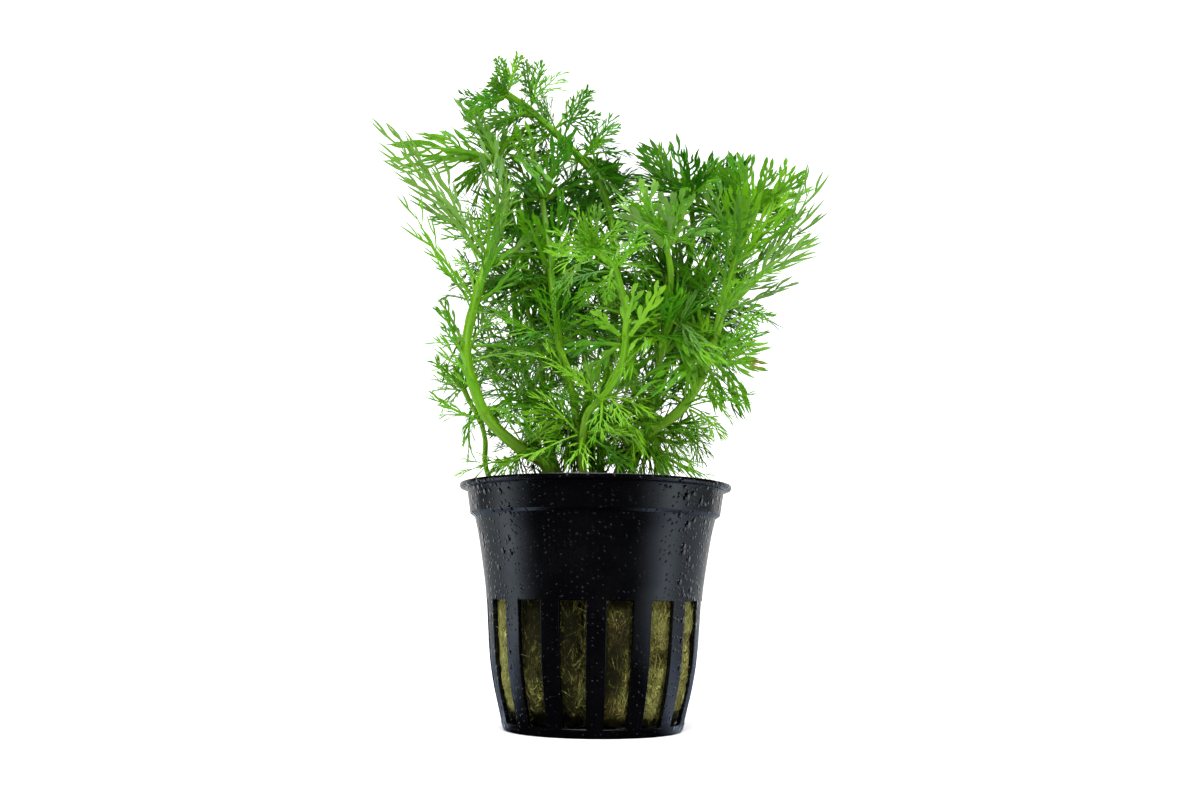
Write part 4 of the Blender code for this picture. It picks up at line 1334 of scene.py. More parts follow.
@dataclass
class NetPot:
    """The slotted pot as one thick sheet: rows run from the lip down the wall and in to the middle of the base, and
    columns run round. Cells at the slots and drains are left out and their edges closed from outside to inside."""

    slots: int = SLOTS
    bar_columns: int = 6
    slot_columns: int = 8
    slot_half_angle: float = SLOT_HALF_ANGLE
    first_bar: float = FIRST_BAR_ANGLE
    wall_rows: int = 6
    edge_round: float = 0.16
    sharp_angle: float = 40.0
    look: PotFinish = field(default_factory=PotFinish)

    def rows(self) -> tuple[Array, Array, Array]:
        """The section by rows.

        Returns:
            Outer (radius, height), inner (radius, height), and which row gaps a slot or a drain opens (1 or 2).
        """
        wall = np.array(WALL_LINE)
        t = np.linspace(0, 3, 3 * self.wall_rows + 1)
        upper = along(wall, t)
        t = np.linspace(3, len(wall) - 1, 3 * self.wall_rows + 1)[1:]
        lower = along(wall, t)
        top = np.array([(27.5, POT_HEIGHT), (27.55, 47.9), (27.4, 47.45), (26.05, 47.2), (25.65, 44.8), (25.3, 42.35)])
        top_inner = np.array([
            (25.3, POT_HEIGHT), (25.1, 47.9), (25.1, 47.45), (25.0, 47.0), (24.75, 44.9), (24.4, 42.7),
        ])
        base = np.array([(17.85, 0.5), (17.3, 0.0), (13.0, 0.0), (6.0, 0.0)])
        base_inner = np.array([(17.1, 1.7), (16.7, 1.5), (13.0, 1.5), (6.0, 1.5)])
        outer = np.vstack([top, upper, lower, base])
        inner = np.vstack([top_inner, upper - (WALL, 0), lower - (WALL, 0), base_inner])
        opens = np.zeros(len(outer) - 1, int)
        opens[len(top) + len(upper) - 1: len(top) + len(upper) + len(lower) - 1] = 1
        opens[-1] = 2
        return outer, inner, opens

    def angles(self) -> Array:
        """Column angles in radians from the front, all even within a bar and within a slot.

        Returns:
            The angles, in order round the pot.
        """
        pitch = 360 / self.slots
        bar = pitch / 2 - self.slot_half_angle
        one = np.concatenate([
            np.linspace(-bar, bar, self.bar_columns, endpoint=False),
            np.linspace(bar, pitch - bar, self.slot_columns, endpoint=False),
        ])
        return np.radians(self.first_bar + (np.arange(self.slots)[:, None] * pitch + one[None]).ravel())

    def build(self) -> Piece:
        """Makes the pot.

        Returns:
            The piece.
        """
        outer, inner, opens = self.rows()
        turn = self.angles()
        rows, columns = len(outer), len(turn)
        ring = np.stack([np.sin(turn), -np.cos(turn)], -1)

        def spun(line: Array) -> Array:
            """The line turned about the axis: (r sin a, -r cos a, z)."""
            flat = line[:, None, :1] * ring[None]
            return np.concatenate([flat, np.broadcast_to(line[:, None, 1:], (rows, columns, 1))], -1).reshape(-1, 3)

        points = np.vstack([spun(outer), spun(inner), [(0, 0, outer[-1, 1]), (0, 0, inner[-1, 1])]])
        per_pitch = self.bar_columns + self.slot_columns
        spot = np.arange(columns) % per_pitch
        in_slot = spot >= self.bar_columns
        third = np.arange(columns) // per_pitch % 3
        drain = (spot < self.bar_columns + 3) & (third == 0) | (spot >= per_pitch - 3) & (third == 2)
        kept = ~((opens[:, None] == 1) & in_slot[None] | (opens[:, None] == 2) & drain[None])
        skin = rows * columns

        def at(i: Array | int, j: Array) -> Array:
            """A point's number on the outer skin, by row and column."""
            return i * columns + j % columns

        def edge(cells: Array, first: tuple[int, int], second: tuple[int, int]) -> Array:
            """Quads that join the skins at cells, between two of their corners, (rows down, columns on).

            Args:
                cells: the cells that have this edge.
                first: where one corner is from the cell.
                second: where the other corner is.

            Returns:
                One quad for each cell.
            """
            i, j = np.nonzero(cells)
            a, b = at(i + first[0], j + first[1]), at(i + second[0], j + second[1])
            return np.stack([a, b, b + skin, a + skin], -1)

        i, j = np.nonzero(kept)
        face = np.stack([at(i, j), at(i + 1, j), at(i + 1, j + 1), at(i, j + 1)], -1)
        after = np.roll(kept, -1, axis=1)
        here, on, down, across = (0, 0), (0, 1), (1, 0), (1, 1)
        quads = [
            face, face[:, ::-1] + skin, edge(np.ones((1, columns), bool), here, on),
            edge(kept & ~after, on, across), edge(~kept & after, across, on),
            edge(kept[:-1] & ~kept[1:], across, down), edge(~kept[:-1] & kept[1:], down, across),
        ]
        j = np.arange(columns)
        last = at(rows - 1, j), at(rows - 1, j + 1)
        middle = 2 * skin
        fans = [
            np.stack([last[1], last[0], np.full(columns, middle)], -1),
            np.stack([last[0] + skin, last[1] + skin, np.full(columns, middle + 1)], -1),
        ]
        shell = Skin()
        shell.add(points, np.vstack(quads), np.vstack(fans))
        piece = settle("slotted_pot_shell", shell, self.look.material(), "net_pot")
        soft = piece.modifiers.new("rounded edges", "BEVEL")
        soft.width = self.edge_round * MM
        soft.segments = 2
        soft.limit_method = "ANGLE"
        soft.angle_limit = math.radians(self.sharp_angle)
        soft.harden_normals = True
        return piece


def pot_bore(z: Array) -> Array:
    """The pot's inner radius at heights, straight between the wall line's points."""
    line = np.array(WALL_LINE)[::-1]
    return np.interp(z, line[:, 1], line[:, 0]) - WALL


@dataclass(frozen=True)
class Patch:
    """A soft round patch on a wad: where it is, its half sizes in degrees and millimetres, how much lighter it is and
    how deep it is dented. Its lightness is partly the wool's own tone and partly painted shade in a dent and painted
    light on a bulge."""

    angle: float
    height: float
    wide: float
    tall: float
    lighter: float
    dent: float

    def strength(self, angle: Array, height: Array) -> Array:
        """1 in the middle, e^-1 at the half sizes: a flat-topped bell of the fourth power."""
        far = ((angle - self.angle) / self.wide) ** 2 + ((height - self.height) / self.tall) ** 2
        return np.exp(-(far**2))


@dataclass
class WoolWad:
    """One torn wad of wool between two angles from the front, squeezed into the pot's slots, with loose strands."""

    name: str
    first: float
    last: float
    tone: float
    seed: int
    patches: tuple[Patch, ...] = ()
    foot: float = 1.65
    top: float = 44.3
    back: float = 0.2
    bulge: float = 0.85
    squareness: float = 0.45
    strands: int = 700
    rows: int = 80
    columns: int = 84

    def squeeze(self, angle: Array, height: Array) -> Array:
        """How far the wool stands into a slot: a smooth window over the slot's angles times one over its height.

        Args:
            angle: angles round the pot, in radians.
            height: heights above the base.

        Returns:
            0 to 1 at each point.
        """
        pitch = 360 / SLOTS
        off = np.abs((np.degrees(angle) - FIRST_BAR_ANGLE) % pitch - pitch / 2)
        across = smooth_step((SLOT_HALF_ANGLE - 0.4 - off) / 2.2)
        ragged = 0.9 * np.sin(np.degrees(angle) * 1.3 + self.seed) + 0.5 * np.sin(np.degrees(angle) * 3.1)
        up = smooth_step((height - SLOT_FOOT - 1.4 - ragged * 0.6) / 1.2)
        return across * up * smooth_step((SLOT_TOP - 0.3 - height) / 2.0)

    def surface(self) -> tuple[Array, Array, Array, Array]:
        """The wad's skin: at height z a rounded box between its angles and between the core and the pot's wall, drawn
        in at foot and top, with its outer side dented by its patches and by ripples.

        Returns:
            Points, quads, triangles and each point's tone, which carries painted shade at the foot and the patches'
            painted light and shade.
        """
        v = (1 - np.cos(np.linspace(0.04, 1, self.rows) * math.pi * 0.985)) / 2
        v, turn = np.meshgrid(v, rounds(self.columns), indexing="ij")
        x, y = (np.sign(way) * np.abs(way) ** self.squareness for way in (np.cos(turn), np.sin(turn)))
        end = (1 - np.abs(2 * v - 1) ** 16) ** 0.35
        z = self.foot + (self.top - self.foot) * v
        far, near = pot_bore(z) - self.back, WAD_BORE
        end = np.where(v < 0.5, 0.85 + 0.15 * end, end)
        radius = (far + near) / 2 + (far - near) / 2 * y * end
        mid, half = math.radians((self.first + self.last) / 2), math.radians((self.last - self.first) / 2)
        angle = mid + half * x * (0.6 + 0.4 * end)
        points = np.stack([radius * np.sin(angle), -radius * np.cos(angle), z], -1).reshape(-1, 3)
        outer = (np.clip(y * 1.5, 0, 1) * end).ravel()
        lumps = ripples(points, 9.0, self.seed) * 0.2 + ripples(points, 3.5, self.seed + 1) * 0.12
        fine = ripples(points, 1.3, self.seed + 2) * 0.14
        push = np.minimum(lumps + fine - 0.25, 0.0) + self.bulge * self.squeeze(angle, z).ravel()
        tone = np.full(len(points), self.tone) + ripples(points, 7.0, self.seed + 9) * 0.08
        # Painted shade: the tone falls to dark at the wad's foot, below about 3.6 mm, where the wool sinks into the
        # bottom of the slot.
        tone -= 0.6 * smooth_step((3.6 - z.ravel() + 0.5 * ripples(points, 1.6, self.seed + 5)) / 0.9)
        # Each patch's tone shift is partly the wool's own colour and partly painted light and shade: darker where it is
        # dented, lighter where it bulges.
        for patch in self.patches:
            part = patch.strength(np.degrees(angle).ravel(), z.ravel())
            push -= patch.dent * part
            tone += patch.lighter * part
        outward = np.stack([np.sin(angle), -np.cos(angle), np.zeros_like(angle)], -1).reshape(-1, 3)
        points = points + outward * (push * outer)[:, None]
        points[:, 2] += ripples(points, 5.0, self.seed + 3) * 0.7 * np.clip(v.ravel() - 0.9, 0, 1) * 10
        points[:, 2] += np.abs(ripples(points, 2.5, self.seed + 4)) * 0.8 * np.clip(0.06 - v.ravel(), 0, 1) * 17
        quads, triangles = tube_faces(self.rows, self.columns)
        ends = points[: self.columns].mean(0), points[-self.columns:].mean(0)
        tone = np.append(tone, (self.tone, self.tone))
        return np.vstack([points, ends]), quads[:, ::-1], triangles[:, ::-1], tone

    def hairs(self, points: Array, tone: Array) -> Strips:
        """Loose strands that start on the outer side, run mostly upright over it and arch a little off it.

        Args:
            points: the wad's points.
            tone: the tone at each of them.

        Returns:
            The strands, with their tones.
        """
        draw = np.random.default_rng(self.seed + 50)
        shell = points[:-2].reshape(self.rows, self.columns, 3)
        i = draw.integers(2, int(self.rows * 0.62), self.strands)
        j = draw.integers(int(self.columns * 0.02), int(self.columns * 0.48), self.strands)
        root = shell[i, j]
        out = unit(root * (1, 1, 0))
        tangent = np.cross((0, 0, 1), out)
        slant = draw.normal(0, 0.6, self.strands)[:, None]
        way = unit(tangent * np.sin(slant) + np.array((0, 0, 1.0)) * np.cos(slant))
        length = draw.uniform(1.0, 4.5, self.strands)[:, None]
        root = root + out * 0.03
        knee = root + way * length * 0.5 + out * draw.uniform(0.05, 0.4, self.strands)[:, None]
        knee += tangent * draw.normal(0, 0.5, self.strands)[:, None]
        tip = root + way * length + out * draw.uniform(-0.2, 0.15, self.strands)[:, None]
        for end in (knee, tip):
            limit = (pot_bore(end[:, 2]) + 0.5)[:, None]
            flat = np.linalg.norm(end[:, :2], axis=1, keepdims=True)
            end[:, :2] *= np.minimum(1, limit / flat)
            end[:, 2] = np.clip(end[:, 2], self.foot, self.top)
        shade = tone[:-2].reshape(self.rows, self.columns)[i, j] + draw.uniform(0.05, 0.8, self.strands)
        place = np.tile([0.0, 1.0], (self.strands, 1))
        width = draw.uniform(0.025, 0.06, self.strands)
        return Strips(root, knee, tip, np.cross(way, out), width, place, {"tone": shade})

    def build(self, look: Material) -> Piece:
        """Makes the wad.

        Args:
            look: its material.

        Returns:
            The piece.
        """
        points, quads, triangles, tone = self.surface()
        skin = Skin()
        skin.add(points, quads, triangles, tone=tone, along=np.zeros(len(points)))
        skin.add_strips(self.hairs(points, tone), Taper((0.05, 0.5, 0.95), 0.5, 0.8, 0.03), KEEL)
        return settle(f"fibrous_wad_{self.name}", skin, look, f"wool_{self.name}")


@dataclass
class WoolCore:
    """The loose core that the stems stand on: a solid of revolution with a lumpy top and side."""

    radius: float = 8.7
    foot: float = 2.3
    top: float = 37.9
    rows: int = 40
    columns: int = 60

    def build(self, look: Material) -> Piece:
        """Makes the core.

        Args:
            look: its material.

        Returns:
            The piece.
        """
        v = (1 - np.cos(np.linspace(0.03, 0.97, self.rows) * math.pi)) / 2
        v, turn = np.meshgrid(v, rounds(self.columns), indexing="ij")
        radius = self.radius * (0.72 + 0.28 * v) * (1 - np.abs(2 * v - 1) ** 14) ** 0.35
        z = self.foot + (self.top - self.foot) * v
        points = np.stack([radius * np.cos(turn), radius * np.sin(turn), z], -1).reshape(-1, 3)
        points[:, :2] *= 1 - 0.04 * (1 + ripples(points, 5.0, 71))[:, None]
        points = np.vstack([points, (0, 0, self.foot), (0, 0, self.top)])
        skin = Skin()
        skin.add(points, *tube_faces(self.rows, self.columns), tone=0.25, along=0.0)
        return settle("fibrous_core", skin, look, "wool_core")


@dataclass
class Shoot:
    """One stem's skin: a ribbed tube along its route, thicker at its nodes, closed at foot and tip."""

    stem: Stem
    number: int
    around: int = 20
    rows_per_point: int = 9
    ribs: int = 5
    rib_share: float = 0.05
    node_share: float = 0.13
    node_length: float = 0.9

    def build(self, look: Material) -> Piece:
        """Makes the stem. A point is the route's point plus the radius times the ring's direction. The radius runs
        straight from foot to tip, times 1 plus a cosine over the ribs plus a bell at each node.

        Args:
            look: its material.

        Returns:
            The piece.
        """
        stem = self.stem
        last = len(stem.route) - 1
        t = np.linspace(0, last, self.rows_per_point * last)
        centre = along(stem.route, t)
        ahead = unit(np.gradient(centre, axis=0))
        across = unit(np.cross(ahead, (0.0, 1.0, 0.0)))
        up = np.cross(ahead, across)
        turn = rounds(self.around)
        reach = np.concatenate([[0], np.cumsum(np.linalg.norm(np.diff(centre, axis=0), axis=1))])
        radius = stem.foot + (stem.tip - stem.foot) * t / last
        for whorl in stem.whorls:
            node = np.interp(whorl.at, t, reach)
            radius = radius * (1 + self.node_share * np.exp(-(((reach - node) / self.node_length) ** 2)))
        radius = radius * (1 + 0.04 * np.sin(reach * 0.9 + self.number))
        twist = turn[None] + 0.02 * reach[:, None] + self.number
        ridge = np.cos(twist * self.ribs)
        spread = radius[:, None] * (1 + self.rib_share * ridge)
        way = np.cos(turn)[None, :, None] * across[:, None] + np.sin(turn)[None, :, None] * up[:, None]
        points = (centre[:, None] + spread[..., None] * way).reshape(-1, 3)
        points += ripples(points, 2.2, 300 + self.number)[:, None] * 0.03
        points = np.vstack([points, centre[0], centre[-1] + ahead[-1] * radius[-1] * 0.6])
        skin = Skin()
        tall = np.append(np.repeat(t / last, self.around), (0.0, 1.0))
        rib = np.append((ridge * 0.5 + 0.5).ravel(), (0.5, 0.5))
        tone = 0.35 + 0.3 * math.sin(self.number * 2.4)
        skin.add(points, *tube_faces(len(t), self.around), along=tall, rib=rib, tone=tone)
        return settle(f"ribbed_stem_{stem.name}", skin, look, f"stem_{stem.name}")


def midribs(leaves: list[Leaf], u: Array) -> tuple[Array, Array, Array]:
    """Points, directions and sideways directions of many leaves' midribs at the same places, (leaves, places, 3)."""
    each = [leaf.midrib(u) for leaf in leaves]
    return tuple(np.stack([one[k] for one in each]) for k in range(3))


@dataclass
class FrondMaker:
    """Divides leaves into a midrib, side fingers and lobes. A finger's tip sinks by droop times its length. A pair's
    second finger stands further on by stagger times the pairs' distance, and angles vary by a wobble in degrees."""

    plan: FrondPlan
    draw: np.random.Generator
    droop: float = 0.14
    stagger: float = 0.4
    last_place: float = 0.96
    wobble: float = 5.0

    def fingers(self, leaves: list[Leaf], values: dict[str, Array]) -> tuple[Strips, Strips, Strips]:
        """The strips of some leaves.

        A finger leaves the midrib at an angle, on either side, bends forward and lifts or droops a little. Lobes do
        the same from the fingers. Lengths are shares of the leaf's length.

        Args:
            leaves: the leaves.
            values: one number for each by name, tone among them.

        Returns:
            Midribs, fingers and lobes.
        """
        plan, draw = self.plan, self.draw
        count, pairs = len(leaves), plan.pairs
        parts = ([getattr(leaf, part) for leaf in leaves] for part in ("start", "knee", "tip", "side"))
        start, knee, tip, side = (np.stack(part) for part in parts)
        reach = np.linalg.norm(tip - start, axis=1)
        inset = unit(start - knee) * 0.4
        whole = np.tile([0.0, 1.0], (count, 1))
        ribs = Strips(start + inset, knee, tip, side, np.full(count, plan.midrib), whole, values)
        place = np.linspace(*plan.span, pairs)
        later = place + self.stagger * (plan.span[1] - plan.span[0]) / pairs
        place = np.clip(np.concatenate([place, later]), 0, self.last_place)
        hand = np.repeat([1.0, -1.0], pairs)
        root, ahead, sideways = midribs(leaves, place)
        normal = np.cross(ahead, sideways)
        rise = smooth_step((place - plan.span[0] + 0.12) / 0.25)
        fall = np.clip((place - 0.45) / 0.5, 0, 1)
        share = rise * (plan.reach + (plan.end_reach - plan.reach) * fall)
        shape = (count, 2 * pairs)
        length = reach[:, None] * share[None] * draw.uniform(0.82, 1.15, shape)
        turn = np.radians(np.interp(place, plan.span, plan.angles)[None] + draw.normal(0, self.wobble, shape))
        lift = draw.normal(0.05, plan.spread, shape)

        def led(angle: Array, raised: Array) -> Array:
            """Unit directions at an angle to the midrib, on the finger's hand, raised off the blade."""
            flat = np.cos(angle)[..., None] * ahead + (np.sin(angle) * hand)[..., None] * sideways
            return unit(flat + raised[..., None] * normal)

        wider, narrower = np.radians(plan.curl)
        out, on = led(turn + wider, lift + 0.12), led(turn - narrower, lift - 0.12)
        mid = root + out * length[..., None] * 0.5
        end = root + (unit(out + on) - (0, 0, self.droop)) * length[..., None]
        flat_side = unit(np.cross(normal, unit(end - mid)))
        wide = plan.finger * (0.75 + 0.25 * share / plan.reach)[None] * draw.uniform(0.85, 1.15, shape)
        own = {name: np.repeat(value, 2 * pairs) for name, value in values.items()}
        own["tone"] = own["tone"] + draw.normal(0, 0.05, count * 2 * pairs)
        places = np.tile(np.stack([place, place + 0.25], -1), (count, 1))
        fingers = Strips(*(a.reshape(-1, 3) for a in (root, mid, end, flat_side)), wide.ravel(), places, own)
        return ribs, fingers, self.lobes(fingers, normal.reshape(-1, 3), np.tile(hand, count))

    def lobes(self, fingers: Strips, normal: Array, hand: Array) -> Strips:
        """The lobes of fingers: each leaves its finger at a place and angle, on the side that its sign gives.

        Args:
            fingers: the fingers.
            normal: the way that the blade faces at each of them.
            hand: 1 or -1 for the side that each one stands on.

        Returns:
            The lobes.
        """
        plan, draw = self.plan, self.draw
        place, angle, share = np.array(plan.lobes, float).T
        shape = (len(fingers.root), len(place))
        base, ahead = fingers.curve(place)
        across = unit(np.cross(normal[:, None, :], ahead)) * hand[:, None, None]
        turn = np.radians(angle)[None] * draw.uniform(0.8, 1.25, shape)
        chord = np.linalg.norm(fingers.tip - fingers.root, axis=1)[:, None]
        length = chord * share[None] * draw.uniform(0.7, 1.2, shape)
        lift = draw.normal(0, plan.spread * 0.8, shape)

        def led(bend: Array) -> Array:
            """Unit directions at an angle to the finger, raised off the blade."""
            flat = np.cos(bend)[..., None] * ahead + np.sin(bend)[..., None] * across
            return unit(flat + lift[..., None] * normal[:, None, :])

        mid = base + led(turn * 1.35) * length[..., None] * 0.5
        end = base + led(turn * 0.75) * length[..., None]
        side = unit(np.cross(normal[:, None, :], end - mid))
        wide = plan.lobe * draw.uniform(0.8, 1.15, shape)
        begin = fingers.in_leaf(place)
        places = np.stack([begin, begin + 0.12], -1)
        own = {name: np.repeat(value, len(place)) for name, value in fingers.values.items()}
        return Strips(*(a.reshape(-1, 3) for a in (base, mid, end, side)), wide.ravel(), places.reshape(-1, 2), own)


# The plant's outline as its front shows it, in the plane y = 0: (height, left end, right end) and (x, highest point).
SIDE_LIMITS = np.array((
    (48, -24, 18), (52, -24.5, 19.5), (57.5, -26, 23), (62, -29, 26), (66, -33.5, 30), (74, -33.3, 32.8),
    (80, -31.5, 34.5), (87, -32, 37), (91, -33, 39.5), (96.4, -34, 42), (104, -38, 45), (109, -39.5, 45.7),
    (114, -41, 45), (124, -43.5, 43),
))
TOP_LIMITS = np.array((
    (-46, 126), (-36, 125), (-31, 127.4), (-29.4, 130.8), (-25.8, 134.3), (-21.7, 139.5), (-15, 140), (-11, 139),
    (-6.5, 136), (0, 133.5), (3.2, 131), (5.4, 122), (10.7, 119.5), (17, 118.5), (21.4, 116.5), (34, 116.5),
    (40.5, 115.5), (44.7, 112.5), (49, 111),
))
# Where the photo was taken from: so far in front of the pot's axis and so high.
FRONT_EYE = 258.0, 25.5
# A leaf of a solid whose tip stands this far outside the outline is drawn in, and swung to the front by this share.
OUTSIDE = 2.5
SWING = 0.7
# Added leaves start at this share of the ring's radius from its axis.
ROOT_DEPTH = 0.7
# The share of a full turn from one young leaf of a tuft to the next.
YOUNG_TURN = 0.382


def drawn_in(tip: Array) -> Array:
    """A leaf tip moved inside the plant's outline. The tip is carried along its line from the eye to the plane y = 0,
    kept below the top line and between the sides there, and carried back to its own depth.

    Args:
        tip: the tip.

    Returns:
        The moved tip.
    """
    far, level = FRONT_EYE
    share = far / (far + tip[1])
    x, z = tip[0] * share, level + (tip[2] - level) * share
    z = min(z, np.interp(x, *TOP_LIMITS.T))
    height, left, right = SIDE_LIMITS.T
    x = np.clip(x, np.interp(z, height, left), np.interp(z, height, right))
    return np.array((x / share, tip[1], level + (z - level) / share))


def swung_in(leaf: Leaf) -> Leaf:
    """A leaf as its solid has it, or, where its tip stands well outside the plant's outline, drawn in and swung to the
    front by a share of that way. Its knee goes half as far as its tip.

    Args:
        leaf: the solid's leaf.

    Returns:
        The leaf to divide.
    """
    shift = drawn_in(leaf.tip) - leaf.tip
    gone = float(np.linalg.norm(shift))
    if gone < OUTSIDE:
        return leaf
    shift[1] -= SWING * gone
    return replace(leaf, tip=leaf.tip + shift, knee=leaf.knee + 0.5 * shift)


# Whorls whose leaves aren't divided as their shape and height say.
KINDS = {
    ("front", 4): FrondKind.THREAD, ("left", 0): FrondKind.THREAD, ("right", 1): FrondKind.THREAD,
    ("front", 0): FrondKind.THREAD, ("inner_left", 0): FrondKind.THREAD, ("far_left", 0): FrondKind.NARROW,
    ("left", 1): FrondKind.NARROW, ("left", 2): FrondKind.NARROW, ("left", 3): FrondKind.NARROW,
    ("front", 2): FrondKind.YOUNG_BROAD, ("right_tall", 0): FrondKind.BROAD, ("right_inner", 1): FrondKind.BROAD,
}
# Crowns whose own leaves have few, blunt lobes.
BLUNT_CROWNS = {("right_inner", 2)}
# Crowns of broad leaves with finely divided leaves between them.
MIXED = {("left", 5), ("right_inner", 2)}
# Stems that show between the leaves: none that is added grows over them to the front, up to this height.
OPEN_FRONT = {"left": 84.0, "centre": 100.0, "front": 90.0, "right": 84.0, "top": 140.0}
# The stems behind the others.
BACKGROUND = {"back", "left_back", "right_back"}
# How much of the pale, greyer green of an underside each kind shows.
PALENESS = {FrondKind.PLUME: 0.7, FrondKind.BLUNT: 0.35}
# How much lighter each kind is than its stem's tone.
USUAL_LIGHTNESS = 0.06
LIGHTNESS = {FrondKind.FINE: 0.14, FrondKind.THREAD: 0.1}
# Painted shade on the leaves further back: from this far in front of the pot's axis, over this depth, leaves are
# painted darker by up to this much.
BACK_SHADE_FROM, BACK_SHADE_OVER, BACK_SHADE_BY = 8.0, 24.0, 0.14
# How light each stem's leaves are, 0 to 1.
TONES = {
    "left": 0.64, "front": 0.7, "right": 0.64, "top": 0.48, "right_inner": 0.62, "right_tall": 0.55,
    "right_back": 0.46, "left_back": 0.46, "back": 0.48, "centre": 0.52, "inner_left": 0.53, "slender": 0.53,
    "far_left": 0.72,
}
DRY_TIPS = {("right", 2): np.array([32.0, -10.0, 72.0])}
# Below this height the leaves are finely divided.
FINE_BELOW = 84.0
# Below this height the leaves stand closest.
CROWDED_BELOW = 90.0
# How many leaves are added between a stem's own, for each face of its rings.
INFILL = {"left": 0.4, "top": 0.45, "front": 0.5, "right": 0.6, "far_left": 0.4, "centre": 1.3, "right_inner": 1.3,
          "slender": 1.2, "inner_left": 1.3, "back": 1.6, "right_back": 1.2, "left_back": 1.2, "right_tall": 1.3}
# How many leaves hang from a node besides.
DROOPING = {
    ("back", 0): 16, ("back", 1): 12, ("left_back", 0): 12, ("left_back", 1): 8, ("right_back", 0): 14,
    ("right_back", 1): 10, ("right_tall", 0): 16, ("right_tall", 1): 8, ("inner_left", 0): 8, ("inner_left", 1): 8,
    ("centre", 0): 14, ("right_inner", 0): 8, ("right_inner", 1): 8, ("slender", 0): 6, ("right", 0): 8,
    ("left", 0): 4,
}
